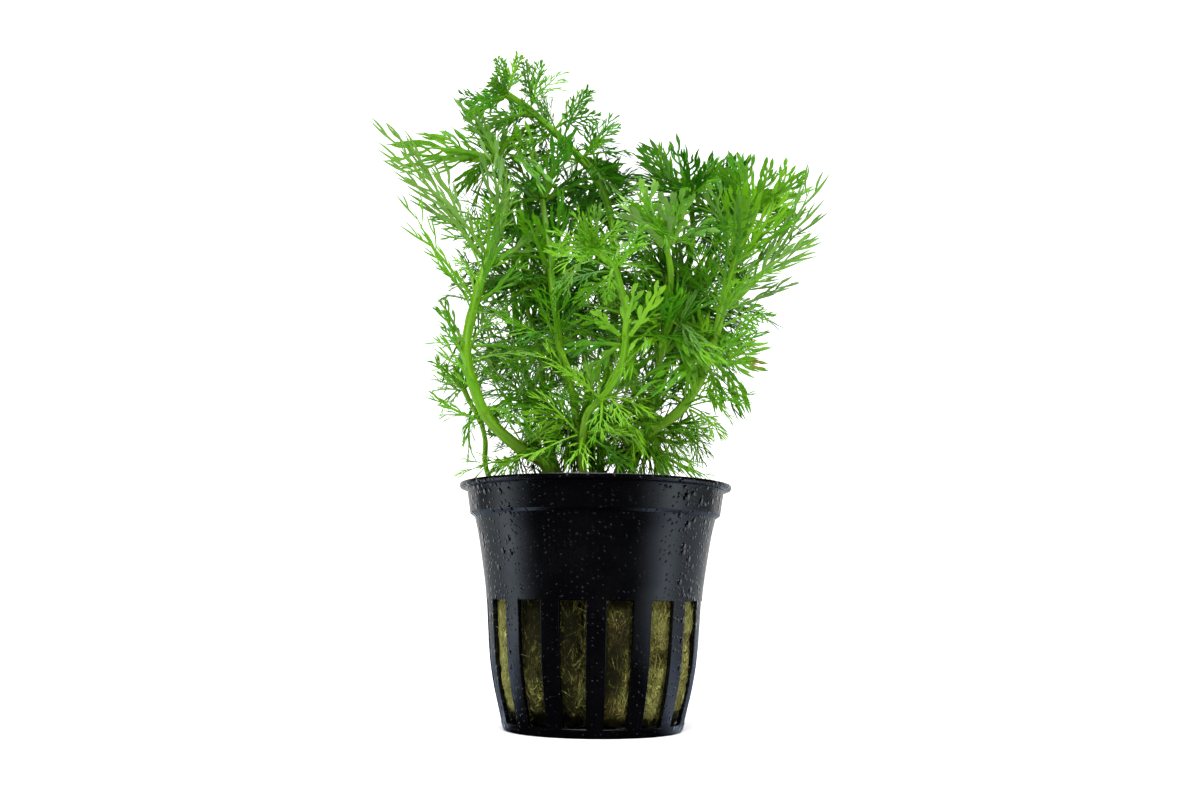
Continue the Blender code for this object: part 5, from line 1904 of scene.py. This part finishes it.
# Tips of leaves that fill the gaps between the crowns.
FILLING = {
    ("left", 0): (
        (-10, 0, 51), (-6, -6, 54), (-16, -2, 51), (-12, -2, 58), (-20, -4, 51), (-21, -6, 59), (-9, -2, 55),
        (-11, -2, 52), (-14, 2, 47), (-18, 0, 48),
    ),
    ("left", 1): ((-21, -2, 64), (-21, -2, 59), (-20, -2, 62)),
    ("left", 2): ((-25, 2, 78), (-19, -6, 69), (-25, 3, 76)),
    ("left", 3): ((-22, 2, 80), (-22, 2, 76), (-25, 2, 80), (-30, -2, 92), (-20, -15, 97)),
    ("left", 4): ((-34, -6, 104), (-27, -2, 105), (-28, 6, 94), (-19, -14, 107), (-22, -15, 103)),
    ("left", 5): (
        (-27, -6, 111), (-28, -4, 116), (-26, -3, 107), (-24, 3, 124), (-17, -8, 120), (-16, 0, 121), (-30, 2, 112),
        (-20, -8, 112), (-29, 6, 124), (-15, 2, 125), (-26, 6, 124), (-28, 6, 115), (-27, 6, 118), (-31, -2, 118),
    ),
    ("inner_left", 0): (
        (-20, -3, 76), (-24, -2, 72), (-9, 4, 72), (-7, 4, 62), (-12, -6, 56), (-20, 0, 58), (-22, -4, 62),
        (-20, 6, 73), (-20, 2, 78), (-22, 6, 71),
    ),
    ("inner_left", 1): (
        (-7, 4, 84), (4, -2, 86), (-12, 2, 88), (6, 2, 92), (0, 0, 100), (-2, -4, 94), (5, 2, 93), (8, 6, 95),
        (5, 2, 90), (8, 4, 94),
    ),
    ("slender", 0): ((-24, 0, 84), (-22, 2, 98), (-10, 0, 86), (-26, 4, 92), (-8, 2, 94), (-28, 6, 94)),
    ("centre", 0): (
        (-6, -8, 52), (4, -4, 54), (8, 0, 58), (-10, 4, 56), (2, 6, 57), (-4, 8, 52), (-12, -2, 52), (6, -8, 51),
        (-4, 6, 53), (-7, 6, 60), (-4, 4, 56), (-3, -2, 54), (-6, 4, 47), (-1, 6, 47), (3, 4, 47), (-13, 2, 48),
    ),
    ("centre", 1): ((-4, 6, 76), (-9, 6, 71), (-2, 6, 76)),
    ("centre", 2): ((-15, 6, 86), (-12, 6, 86), (-12, 4, 84)),
    ("centre", 3): ((-18, 2, 117), (-20, 2, 117)),
    ("right", 0): (
        (2, 0, 52), (6, 6, 54), (14, 2, 53), (16, -4, 51), (4, -10, 52), (10, 4, 60), (13, -10, 52), (16, 2, 58),
        (13, 2, 58), (6, 2, 47), (12, 2, 47), (17, 2, 48),
    ),
    ("right", 1): ((18, 2, 68), (13, 2, 65), (15, -2, 57), (13, 2, 67)),
    ("right", 2): ((18, 2, 70),),
    ("right", 3): (
        (31, 6, 87), (31, 2, 94), (28, 2, 96), (33, -2, 95), (31, 6, 85), (26, -14, 101), (30, -14, 103),
    ),
    ("right", 4): (
        (26, 6, 95), (29, 6, 92), (23, 2, 101), (24, 6, 100), (23, 2, 102), (27, -14, 106), (31, -13, 108),
        (23, -13, 98),
    ),
    ("right", 5): ((26, 2, 102), (41, 2, 107), (41, 2, 104)),
    ("top", 0): ((7, 4, 121), (6, 6, 113), (4, 4, 112), (5, 6, 113), (-5, 10, 112), (5, 6, 116), (5, 8, 116)),
    ("top", 1): ((-13, 6, 132), (-13, 10, 123)),
    ("top", 2): ((-10, 2, 122),),
    ("top", 3): ((-15, 2, 128),),
    ("right_inner", 0): (
        (4, 2, 55), (0, -4, 58), (14, 4, 54), (18, -4, 56), (12, 8, 60), (8, -10, 56), (3, -8, 62), (3, 6, 58),
        (11, 2, 73), (9, 6, 48), (0, 4, 49),
    ),
    ("right_inner", 1): (
        (5, -10, 86), (9, -14, 88), (17, -14, 88), (21, -10, 84), (3, -8, 80), (24, -8, 78), (14, -16, 84),
        (11, 2, 75),
    ),
    ("right_inner", 2): (
        (2.5, -12, 103), (1.5, -12, 97), (4, -8, 106), (8, -6, 106), (15, -2, 98), (20, -6, 97), (15, -4, 99),
    ),
    ("right_tall", 0): (
        (6, 5, 93), (10, 2, 99), (8, 8, 88), (14, 0, 96), (20, 0, 95), (24, 4, 97), (12, 4, 82), (26, 2, 88),
        (4, 8, 84), (18, -4, 90), (26, 6, 97), (13, 2, 96), (11, 6, 100), (10, 0, 96), (13, 6, 92),
    ),
    ("right_tall", 1): (
        (9, 2, 112), (10, 0, 106), (8, 8, 108), (12, 4, 102), (10, 2, 115), (11, 6, 119), (13, -2, 111), (8, 6, 113),
        (8, 6, 116),
    ),
    ("right_back", 0): (
        (8, 12, 92), (12, 14, 97), (18, 12, 98), (26, 12, 95), (10, 16, 84), (30, 14, 90), (11, 10, 80), (11, 10, 96),
        (16, 8, 92), (20, 10, 90),
    ),
    ("right_back", 1): ((21, 6, 108), (16, 10, 115), (22, 6, 106)),
    ("left_back", 0): ((-25, 6, 81), (-12, 6, 84)),
    ("left_back", 1): ((-20, 6, 102),),
    ("back", 0): ((-2, 10, 87),),
    ("back", 1): (
        (6, 12, 118), (9, 14, 112), (8, 16, 106), (4, 10, 121), (7, 20, 116), (9, 22, 109), (5, 10, 112),
        (5, 10, 115),
    ),
}


@dataclass
class LeafWhorl:
    """One node's leaves, divided. A crown also has a tuft of young upright leaves at its middle.

    Others are added between the solid's: up and down the stem by up to scatter times the whorl's length, with lifts in
    degrees and lengths as shares of it between the pairs given. A low whorl has crowding times as many and a crown
    crown_share times as many.
    """

    stem: Stem
    number: int
    ring: Ring
    leaves: list[Leaf]
    seed: int
    young: int = 10
    scatter: float = 0.32
    lifts: tuple[float, float] = (-20.0, 68.0)
    low_lifts: tuple[float, float] = (-45.0, 80.0)
    lengths: tuple[float, float] = (0.66, 0.95)
    crowding: float = 1.5
    crown_share: float = 0.7
    tone_spread: float = 0.16
    undersides: float = 0.16

    @property
    def key(self) -> WhorlKey:
        """What the tables call this whorl: its stem's name and its number."""
        return self.stem.name, self.number

    @property
    def whorl(self) -> Whorl:
        """This node's row of the stems' table."""
        return self.stem.whorls[self.number]

    def added(self, start: Array, knee: Array, tip: Array, out: Array, ahead: Array,
              roll: float = 0.0) -> Leaf:
        """A leaf that the solid hasn't got.

        Args:
            start: where its midrib starts.
            knee: the point that the midrib bends towards.
            tip: where it ends.
            out: the direction in which it leaves the stem.
            ahead: the direction that its blade is rolled about.
            roll: by how many degrees it is rolled beyond its root.

        Returns:
            The leaf. Its corners are all 0, because it grows from no face of the ring.
        """
        side = np.cross(self.ring.axis, out)
        rolled = turned_about(side, ahead, math.radians(roll))
        return Leaf(0, SHAPES[Blade.SMALL], np.zeros((4, 3)), start, knee, tip, side, rolled)

    def kind_of(self, leaf: Leaf) -> FrondKind:
        """How a leaf is divided: by the tables, its blade's shape, its whorl's blades and its height.

        Args:
            leaf: the leaf.

        Returns:
            Its kind.
        """
        if self.key in BLUNT_CROWNS and leaf.corners.any():
            return FrondKind.BLUNT
        if self.key in KINDS:
            return KINDS[self.key]
        if leaf.shape is SHAPES[Blade.LONG]:
            return FrondKind.PLUME
        if self.whorl.blade is Blade.LOBED:
            return FrondKind.BROAD
        return FrondKind.FINE if self.ring.centre[2] < FINE_BELOW else FrondKind.FERN

    def tuft(self, draw: np.random.Generator) -> list[Leaf]:
        """Young leaves round a crown's middle, each a short leaf that stands steeply.

        Args:
            draw: the whorl's random draws.

        Returns:
            The leaves.
        """
        young = []
        ring = self.ring
        for k in range(self.young):
            out = ring.outward(2 * math.pi * k * YOUNG_TURN + draw.uniform(-0.2, 0.2))
            lean = math.radians(10 + 5.0 * k)
            way = ring.axis * math.cos(lean) + out * math.sin(lean)
            start = ring.centre + out * 0.03 * k
            length = draw.uniform(3.2, 4.8) + 0.25 * k
            knee = start + (way + out * 0.2) * length * 0.5
            young.append(self.added(start, knee, start + way * length, out, way))
        return young

    def beside(self, out: Array, k: int) -> Array:
        """A direction as it is, or turned 45 degrees left or right of the stem if that must show and is behind it.

        Args:
            out: the direction away from the stem.
            k: the leaf's number. Odd ones turn to the front view's right.

        Returns:
            The direction to use.
        """
        if self.ring.centre[2] > OPEN_FRONT.get(self.stem.name, 0.0) or self.ring.closed or out[1] > -0.7:
            return out
        return turned_about(out, self.ring.axis, math.radians(45 if k % 2 else -45))

    def between(self, draw: np.random.Generator) -> list[Leaf]:
        """More leaves of the same whorl, over and under its solid's and a little up and down the stem, whose tips stay
        as near to the node as those of its solid.

        Args:
            draw: the whorl's random draws.

        Returns:
            The leaves.
        """
        ring, whorl, more = self.ring, self.whorl, []
        low = ring.centre[2] < CROWDED_BELOW
        share = INFILL[self.stem.name] * (self.crowding if low else 1) * (self.crown_share if ring.closed else 1)
        count = round(ring.faces * share)
        step = np.linalg.norm(along(self.stem.route, whorl.at + 0.1) - along(self.stem.route, whorl.at - 0.1)) / 0.2
        for k in range(count):
            off = 0.0 if ring.closed else draw.uniform(-self.scatter, self.scatter) * whorl.length
            heart = along(self.stem.route, whorl.at + off / step)[0]
            out = self.beside(ring.outward(2 * math.pi * (k + draw.uniform(-0.3, 0.3)) / count), k)
            lift = math.radians(draw.uniform(*(self.low_lifts if low else self.lifts)))
            ahead = out * math.cos(lift) + ring.axis * math.sin(lift)
            length = whorl.length * draw.uniform(*self.lengths)
            start = heart + out * ring.outer * ROOT_DEPTH
            tip = start + unit(ahead - np.array([0, 0, draw.uniform(0.0, 0.3)])) * length
            away = tip - ring.centre
            tip = ring.centre + away * min(1.0, whorl.length / np.linalg.norm(away))
            tip = drawn_in(tip)
            tip[2] = max(tip[2], LOWEST_LEAF + draw.uniform(0, 2))
            knee = start + (ahead + 0.15 * ring.axis) * np.linalg.norm(tip - start) * 0.5
            more.append(self.added(start, knee, tip, out, ahead, draw.uniform(-55, 55)))
        return more

    def aimed(self, draw: np.random.Generator) -> list[Leaf]:
        """More leaves of the same whorl that fill gaps, from the side of the ring that faces each one's tip.

        Args:
            draw: the whorl's random draws.

        Returns:
            The leaves.
        """
        ring, more = self.ring, []
        for tip in FILLING.get(self.key, ()):
            away = np.array(tip) - ring.centre
            away *= min(1.0, self.whorl.length / np.linalg.norm(away))
            out = unit(away - ring.axis * (away @ ring.axis))
            start = ring.centre + out * ring.outer * ROOT_DEPTH
            knee = ring.centre + away * 0.5 + ring.axis * 0.12 * self.whorl.length
            more.append(self.added(start, knee, ring.centre + away, out, unit(away), draw.uniform(-30, 30)))
        return more

    def drooping(self, draw: np.random.Generator) -> list[Leaf]:
        """Leaves that hang out and down from the node, over the bare stems below it.

        Args:
            draw: the whorl's random draws.

        Returns:
            The leaves.
        """
        ring, whorl, more = self.ring, self.whorl, []
        count = DROOPING.get(self.key, 0)
        for k in range(count):
            out = self.beside(ring.outward(2 * math.pi * (k + draw.uniform(-0.4, 0.4)) / count), k)
            lift = math.radians(draw.uniform(-62, 8))
            ahead = out * math.cos(lift) + ring.axis * math.sin(lift)
            length = whorl.length * draw.uniform(0.75, 1.0)
            start = ring.centre + out * ring.outer * ROOT_DEPTH
            tip = drawn_in(start + ahead * (length - ring.outer))
            tip[2] = max(tip[2], LOWEST_LEAF + draw.uniform(0, 2))
            knee = start + unit(out + 0.25 * ring.axis) * np.linalg.norm(tip - start) * 0.45
            knee[2] = max(knee[2], LOWEST_LEAF + 1)
            more.append(self.added(start, knee, tip, out, ahead, draw.uniform(-50, 50)))
        return more

    def build(self, look: Material) -> Piece:
        """Makes the whorl.

        Args:
            look: the leaves' material.

        Returns:
            The piece.
        """
        draw = np.random.default_rng(self.seed)
        skin = Skin()
        base_tone = TONES[self.stem.name]
        groups: dict[FrondKind, list[Leaf]] = {}
        # The order of these calls is that of the random draws.
        more = self.between(draw)
        for leaf in [swung_in(one) for one in self.leaves] + self.drooping(draw) + self.aimed(draw):
            groups.setdefault(self.kind_of(leaf), []).append(leaf)
        for leaf in more:
            groups.setdefault(FrondKind.FERN if self.key in MIXED else self.kind_of(leaf), []).append(leaf)
        for kind, leaves in groups.items():
            # Painted shade: leaves whose tips stand further behind the pot's axis get a darker tone.
            depth = smooth_step((np.array([leaf.tip[1] for leaf in leaves]) + BACK_SHADE_FROM) / BACK_SHADE_OVER)
            tone = base_tone + LIGHTNESS.get(kind, USUAL_LIGHTNESS) - BACK_SHADE_BY * depth
            tone += draw.normal(0, self.tone_spread, len(leaves))
            self.dress(skin, kind, leaves, np.clip(tone, 0, 1), draw)
        if self.ring.closed:
            young = self.tuft(draw)
            kind = FrondKind.YOUNG_BROAD if self.whorl.blade is Blade.LOBED else FrondKind.YOUNG
            self.dress(skin, kind, young, np.full(len(young), base_tone + 0.1), draw)
        skin.values["dry"] = [self.dryness(np.vstack(skin.points))]
        node = f"leaves_{self.stem.name}_{self.number + 1}"
        return settle(f"divided_{node}", skin, look, node)

    def dress(self, skin: Skin, kind: FrondKind, leaves: list[Leaf], tone: Array,
              draw: np.random.Generator) -> None:
        """Adds the strips of some leaves of one kind to a skin. A few leaves show their paler underside.

        Args:
            skin: the skin.
            kind: how the leaves are divided.
            leaves: the leaves.
            tone: the tone of each of them.
            draw: the whorl's random draws.
        """
        plan = PLANS[kind]
        pale = PALENESS.get(kind, 0.0) + 0.5 * (draw.random(len(leaves)) < self.undersides)
        parts = FrondMaker(plan, draw).fingers(leaves, {"tone": tone, "pale": np.minimum(pale, 0.8)})
        tapers = BACKGROUND_TAPERS if self.stem.name in BACKGROUND else TAPERS
        for strips, taper, section in zip(parts, tapers, (DIAMOND, KEEL, KEEL), strict=True):
            skin.add_strips(strips, replace(taper, rounded=plan.rounded), section)

    def dryness(self, points: Array) -> Array:
        """1 within 0.36 mm of a leaf tip that has dried, falling straight to 0 at 1.56 mm.

        Args:
            points: the points.

        Returns:
            0 to 1 at each of them.
        """
        spot = DRY_TIPS.get(self.key)
        if spot is None:
            return np.zeros(len(points))
        return np.clip(1.3 - np.linalg.norm(points - spot, axis=1) / 1.2, 0, 1)


@dataclass(frozen=True)
class FloorFinish:
    """Pale matt floor. Mirrored in the pot it shows a painted reflection: to glossy rays only, its colour is dark and
    light bands like those of the surroundings.
    """

    name: str = "pale floor"
    pale: Colour = (0.84, 0.84, 0.84, 1)
    paler: Colour = (0.88, 0.88, 0.88, 1)
    painted_dark_reflection: Colour = (0.010, 0.010, 0.014, 1)
    painted_near_reflection: Colour = (0.44, 0.54, 0.72, 1)
    painted_far_reflection: Colour = (0.80, 0.92, 1.0, 1)

    def material(self) -> Material:
        """The material. The painted reflection's bands go by y over the distance from the pot's axis, a little further
        round on the right and far away.

        Returns:
            The finished material.
        """
        made, weave, shader, _ = new_material(self.name)
        where = weave.object_place()
        floor = weave.blend(weave.noise(where, 6.0, 2.0), self.pale, self.paler)
        place = weave.node("SeparateXYZ", Vector=where).outputs
        reach = weave.node("VectorMath", {"operation": "LENGTH"}, Vector=where).outputs["Value"]
        far = weave.ramp(weave.math("MULTIPLY", reach, 4.0), ((0.48, 0.0), (0.8, 1.0)))
        right = weave.math("GREATER_THAN", place["X"], 0.0)
        turned = weave.scaled(right, 0.27, weave.math("DIVIDE", place["Y"], reach))
        bands = weave.ramp(
            weave.scaled(weave.scaled(far, 0.12, turned), 0.4, 0.44),
            ((0.27, 0.0), (0.36, 0.35), (0.44, 1.0), (0.5, 0.85), (0.58, 0.36), (0.7, 0.25)),
        )
        # Painted reflection: glossy rays see these band colours instead of the pale floor, and the pot mirrors them as
        # its light and dark bands.
        painted_reflection = weave.blend(bands, self.painted_dark_reflection, weave.blend(far, self.painted_near_reflection, self.painted_far_reflection))
        mirrored = weave.node("LightPath").outputs["Is Glossy Ray"]
        weave.dress(shader, Base_Color=weave.blend(mirrored, floor, painted_reflection), Roughness=0.75, Specular_IOR_Level=0.0)
        return made


@dataclass(frozen=True)
class Softbox:
    """One square studio light."""

    name: str
    place: tuple[float, float, float]
    side: float
    power: float
    aim: tuple[float, float, float] = (0.0, 0.0, 0.08)
    tall: float = 1.0
    lights: bool = True
    shines: bool = True

    def build(self) -> None:
        """Makes the light, turned to its aim and hidden from the camera. One that lights is seen by matt surfaces,
        and one that shines by glossy ones."""
        data = bpy.data.lights.new(self.name, "AREA")
        data.shape = "RECTANGLE"
        data.size, data.size_y = self.side, self.side * self.tall
        data.energy = self.power
        lamp = bpy.data.objects.new(self.name, data)
        lamp.location = self.place
        lamp.rotation_mode = "QUATERNION"
        lamp.rotation_quaternion = (Vector(self.aim) - Vector(self.place)).to_track_quat("-Z", "Y")
        lamp.visible_camera = False
        lamp.visible_glossy = self.shines
        lamp.visible_diffuse = lamp.visible_transmission = self.lights
        bpy.context.scene.collection.objects.link(lamp)


@dataclass(frozen=True)
class Studio:
    """The floor, the light round it and the camera."""

    lens: float = 38.0
    sensor: float = 36.0
    eye: tuple[float, float, float] = (0.0007, -0.258, 0.0255)
    tilt: float = 8.95
    roll: float = 0.65
    floor_radius: float = 0.6
    floor_sides: int = 96
    floor_look: FloorFinish = FloorFinish()
    lights: tuple[Softbox, ...] = (
        Softbox("left softbox", (-0.62, -0.10, 0.16), 0.50, 2.2, tall=0.9, shines=False),
        Softbox("right softbox", (0.62, -0.10, 0.16), 0.50, 2.2, tall=0.9, shines=False),
        Softbox("top softbox", (0.0, -0.12, 0.62), 0.55, 7.0),
        Softbox("front fill", (-0.10, -0.60, 0.62), 0.35, 4.5),
        Softbox("back light", (0.42, 0.52, 0.30), 0.30, 2.5, shines=False),
        Softbox("rear panel", (0.0, 0.60, 0.12), 1.5, 1.5, (0.0, 0.0, 0.04), 0.27, lights=False),
    )

    def build(self) -> None:
        """Makes the floor, the lights and the camera."""
        mesh = bpy.data.meshes.new("studio floor")
        turn = rounds(self.floor_sides)
        rim = np.stack([np.cos(turn), np.sin(turn), np.zeros(self.floor_sides)], -1) * self.floor_radius
        mesh.from_pydata(rim.tolist(), [], [tuple(range(self.floor_sides))])
        floor = bpy.data.objects.new("studio_floor", mesh)
        floor.data.materials.append(self.floor_look.material())
        bpy.context.scene.collection.objects.link(floor)
        for light in self.lights:
            light.build()
        self.surroundings()
        self.camera()

    def surroundings(self) -> None:
        """A pale world to the eye, dimmer where it lights the object or shines in it."""
        world = bpy.data.worlds.new("studio")
        bpy.context.scene.world = world
        world.use_nodes = True
        weave = Weave(world.node_tree)
        path = weave.node("LightPath")
        strength = weave.scaled(path.outputs["Is Camera Ray"], 1.6, 0.012)
        strength = weave.scaled(path.outputs["Is Diffuse Ray"], 0.55, strength)
        weave.dress(world.node_tree.nodes["Background"], Color=(1, 1, 1, 1), Strength=strength)

    def camera(self) -> None:
        """Looks level with the pot from the front, tilted up a little, with its horizon turned by the roll."""
        data = bpy.data.cameras.new("photo camera")
        data.lens, data.sensor_width, data.clip_start = self.lens, self.sensor, 0.01
        eye = bpy.data.objects.new("photo camera", data)
        tilt, roll = math.radians(self.tilt), math.radians(self.roll)
        ahead = Vector((0, math.cos(tilt), math.sin(tilt)))
        right, up = Vector((1, 0, 0)), Vector((0, -math.sin(tilt), math.cos(tilt)))
        right, up = math.cos(roll) * right + math.sin(roll) * up, math.cos(roll) * up - math.sin(roll) * right
        pose = Matrix((right, up, -ahead)).transposed().to_4x4()
        pose.translation = Vector(self.eye)
        eye.matrix_world = pose
        bpy.context.scene.collection.objects.link(eye)
        bpy.context.scene.camera = eye


def main() -> None:
    """Builds the pot, the wool, the stems and the leaves in order, then the studio."""
    logging.basicConfig(level=logging.INFO, format="%(message)s")
    bpy.context.scene.view_settings.view_transform = "Standard"
    NetPot().build()
    wool = WoolFinish().material()
    WoolCore().build(wool)
    for wad in (
        WoolWad("left", -114, -50, 0.68, 11, (Patch(-60, 3, 12, 1.5, -0.3, 1.0),)),
        WoolWad("front_left", -48, -8, 0.02, 21, (
            Patch(-35, 23, 12, 6, -0.2, 0.7), Patch(-33, 9, 8, 7, 0.22, -0.1), Patch(-13, 20, 7, 8, -0.16, 0.6),
            Patch(-8, 11, 4, 6, 0.26, -0.2), Patch(-16, 6, 3, 5, -0.15, 0.5), Patch(-28, 2.5, 24, 1.6, -0.4, 1.6),
        )),
        WoolWad("front_right", -6, 30, 0.10, 31, (
            Patch(13, 26.5, 14, 2.2, -0.3, 0.9), Patch(9.5, 12, 3.5, 4.5, -0.22, 0.8), Patch(17, 9, 4, 8, 0.26, -0.3),
        )),
        WoolWad("right", 32, 100, 0.62, 41, (Patch(40, 14.5, 8, 1.5, -0.4, 0.9), Patch(62, 3, 12, 1.5, -0.3, 0.8))),
        WoolWad("back", 103, 243, 0.40, 51, strands=300, rows=56, columns=110),
    ):
        wad.build(wool)
    stem_look, leaf_look = StemFinish().material(), LeafFinish().material()
    for number, stem in enumerate(STEMS):
        Shoot(stem, number).build(stem_look)
    rings, leaves = grow_leaves()
    for seed, ((name, number), ring) in enumerate(rings.items()):
        stem = next(one for one in STEMS if one.name == name)
        LeafWhorl(stem, number, ring, leaves[name, number], 1000 + seed).build(leaf_look)
    Studio().build()


if __name__ == "__main__":
    main()
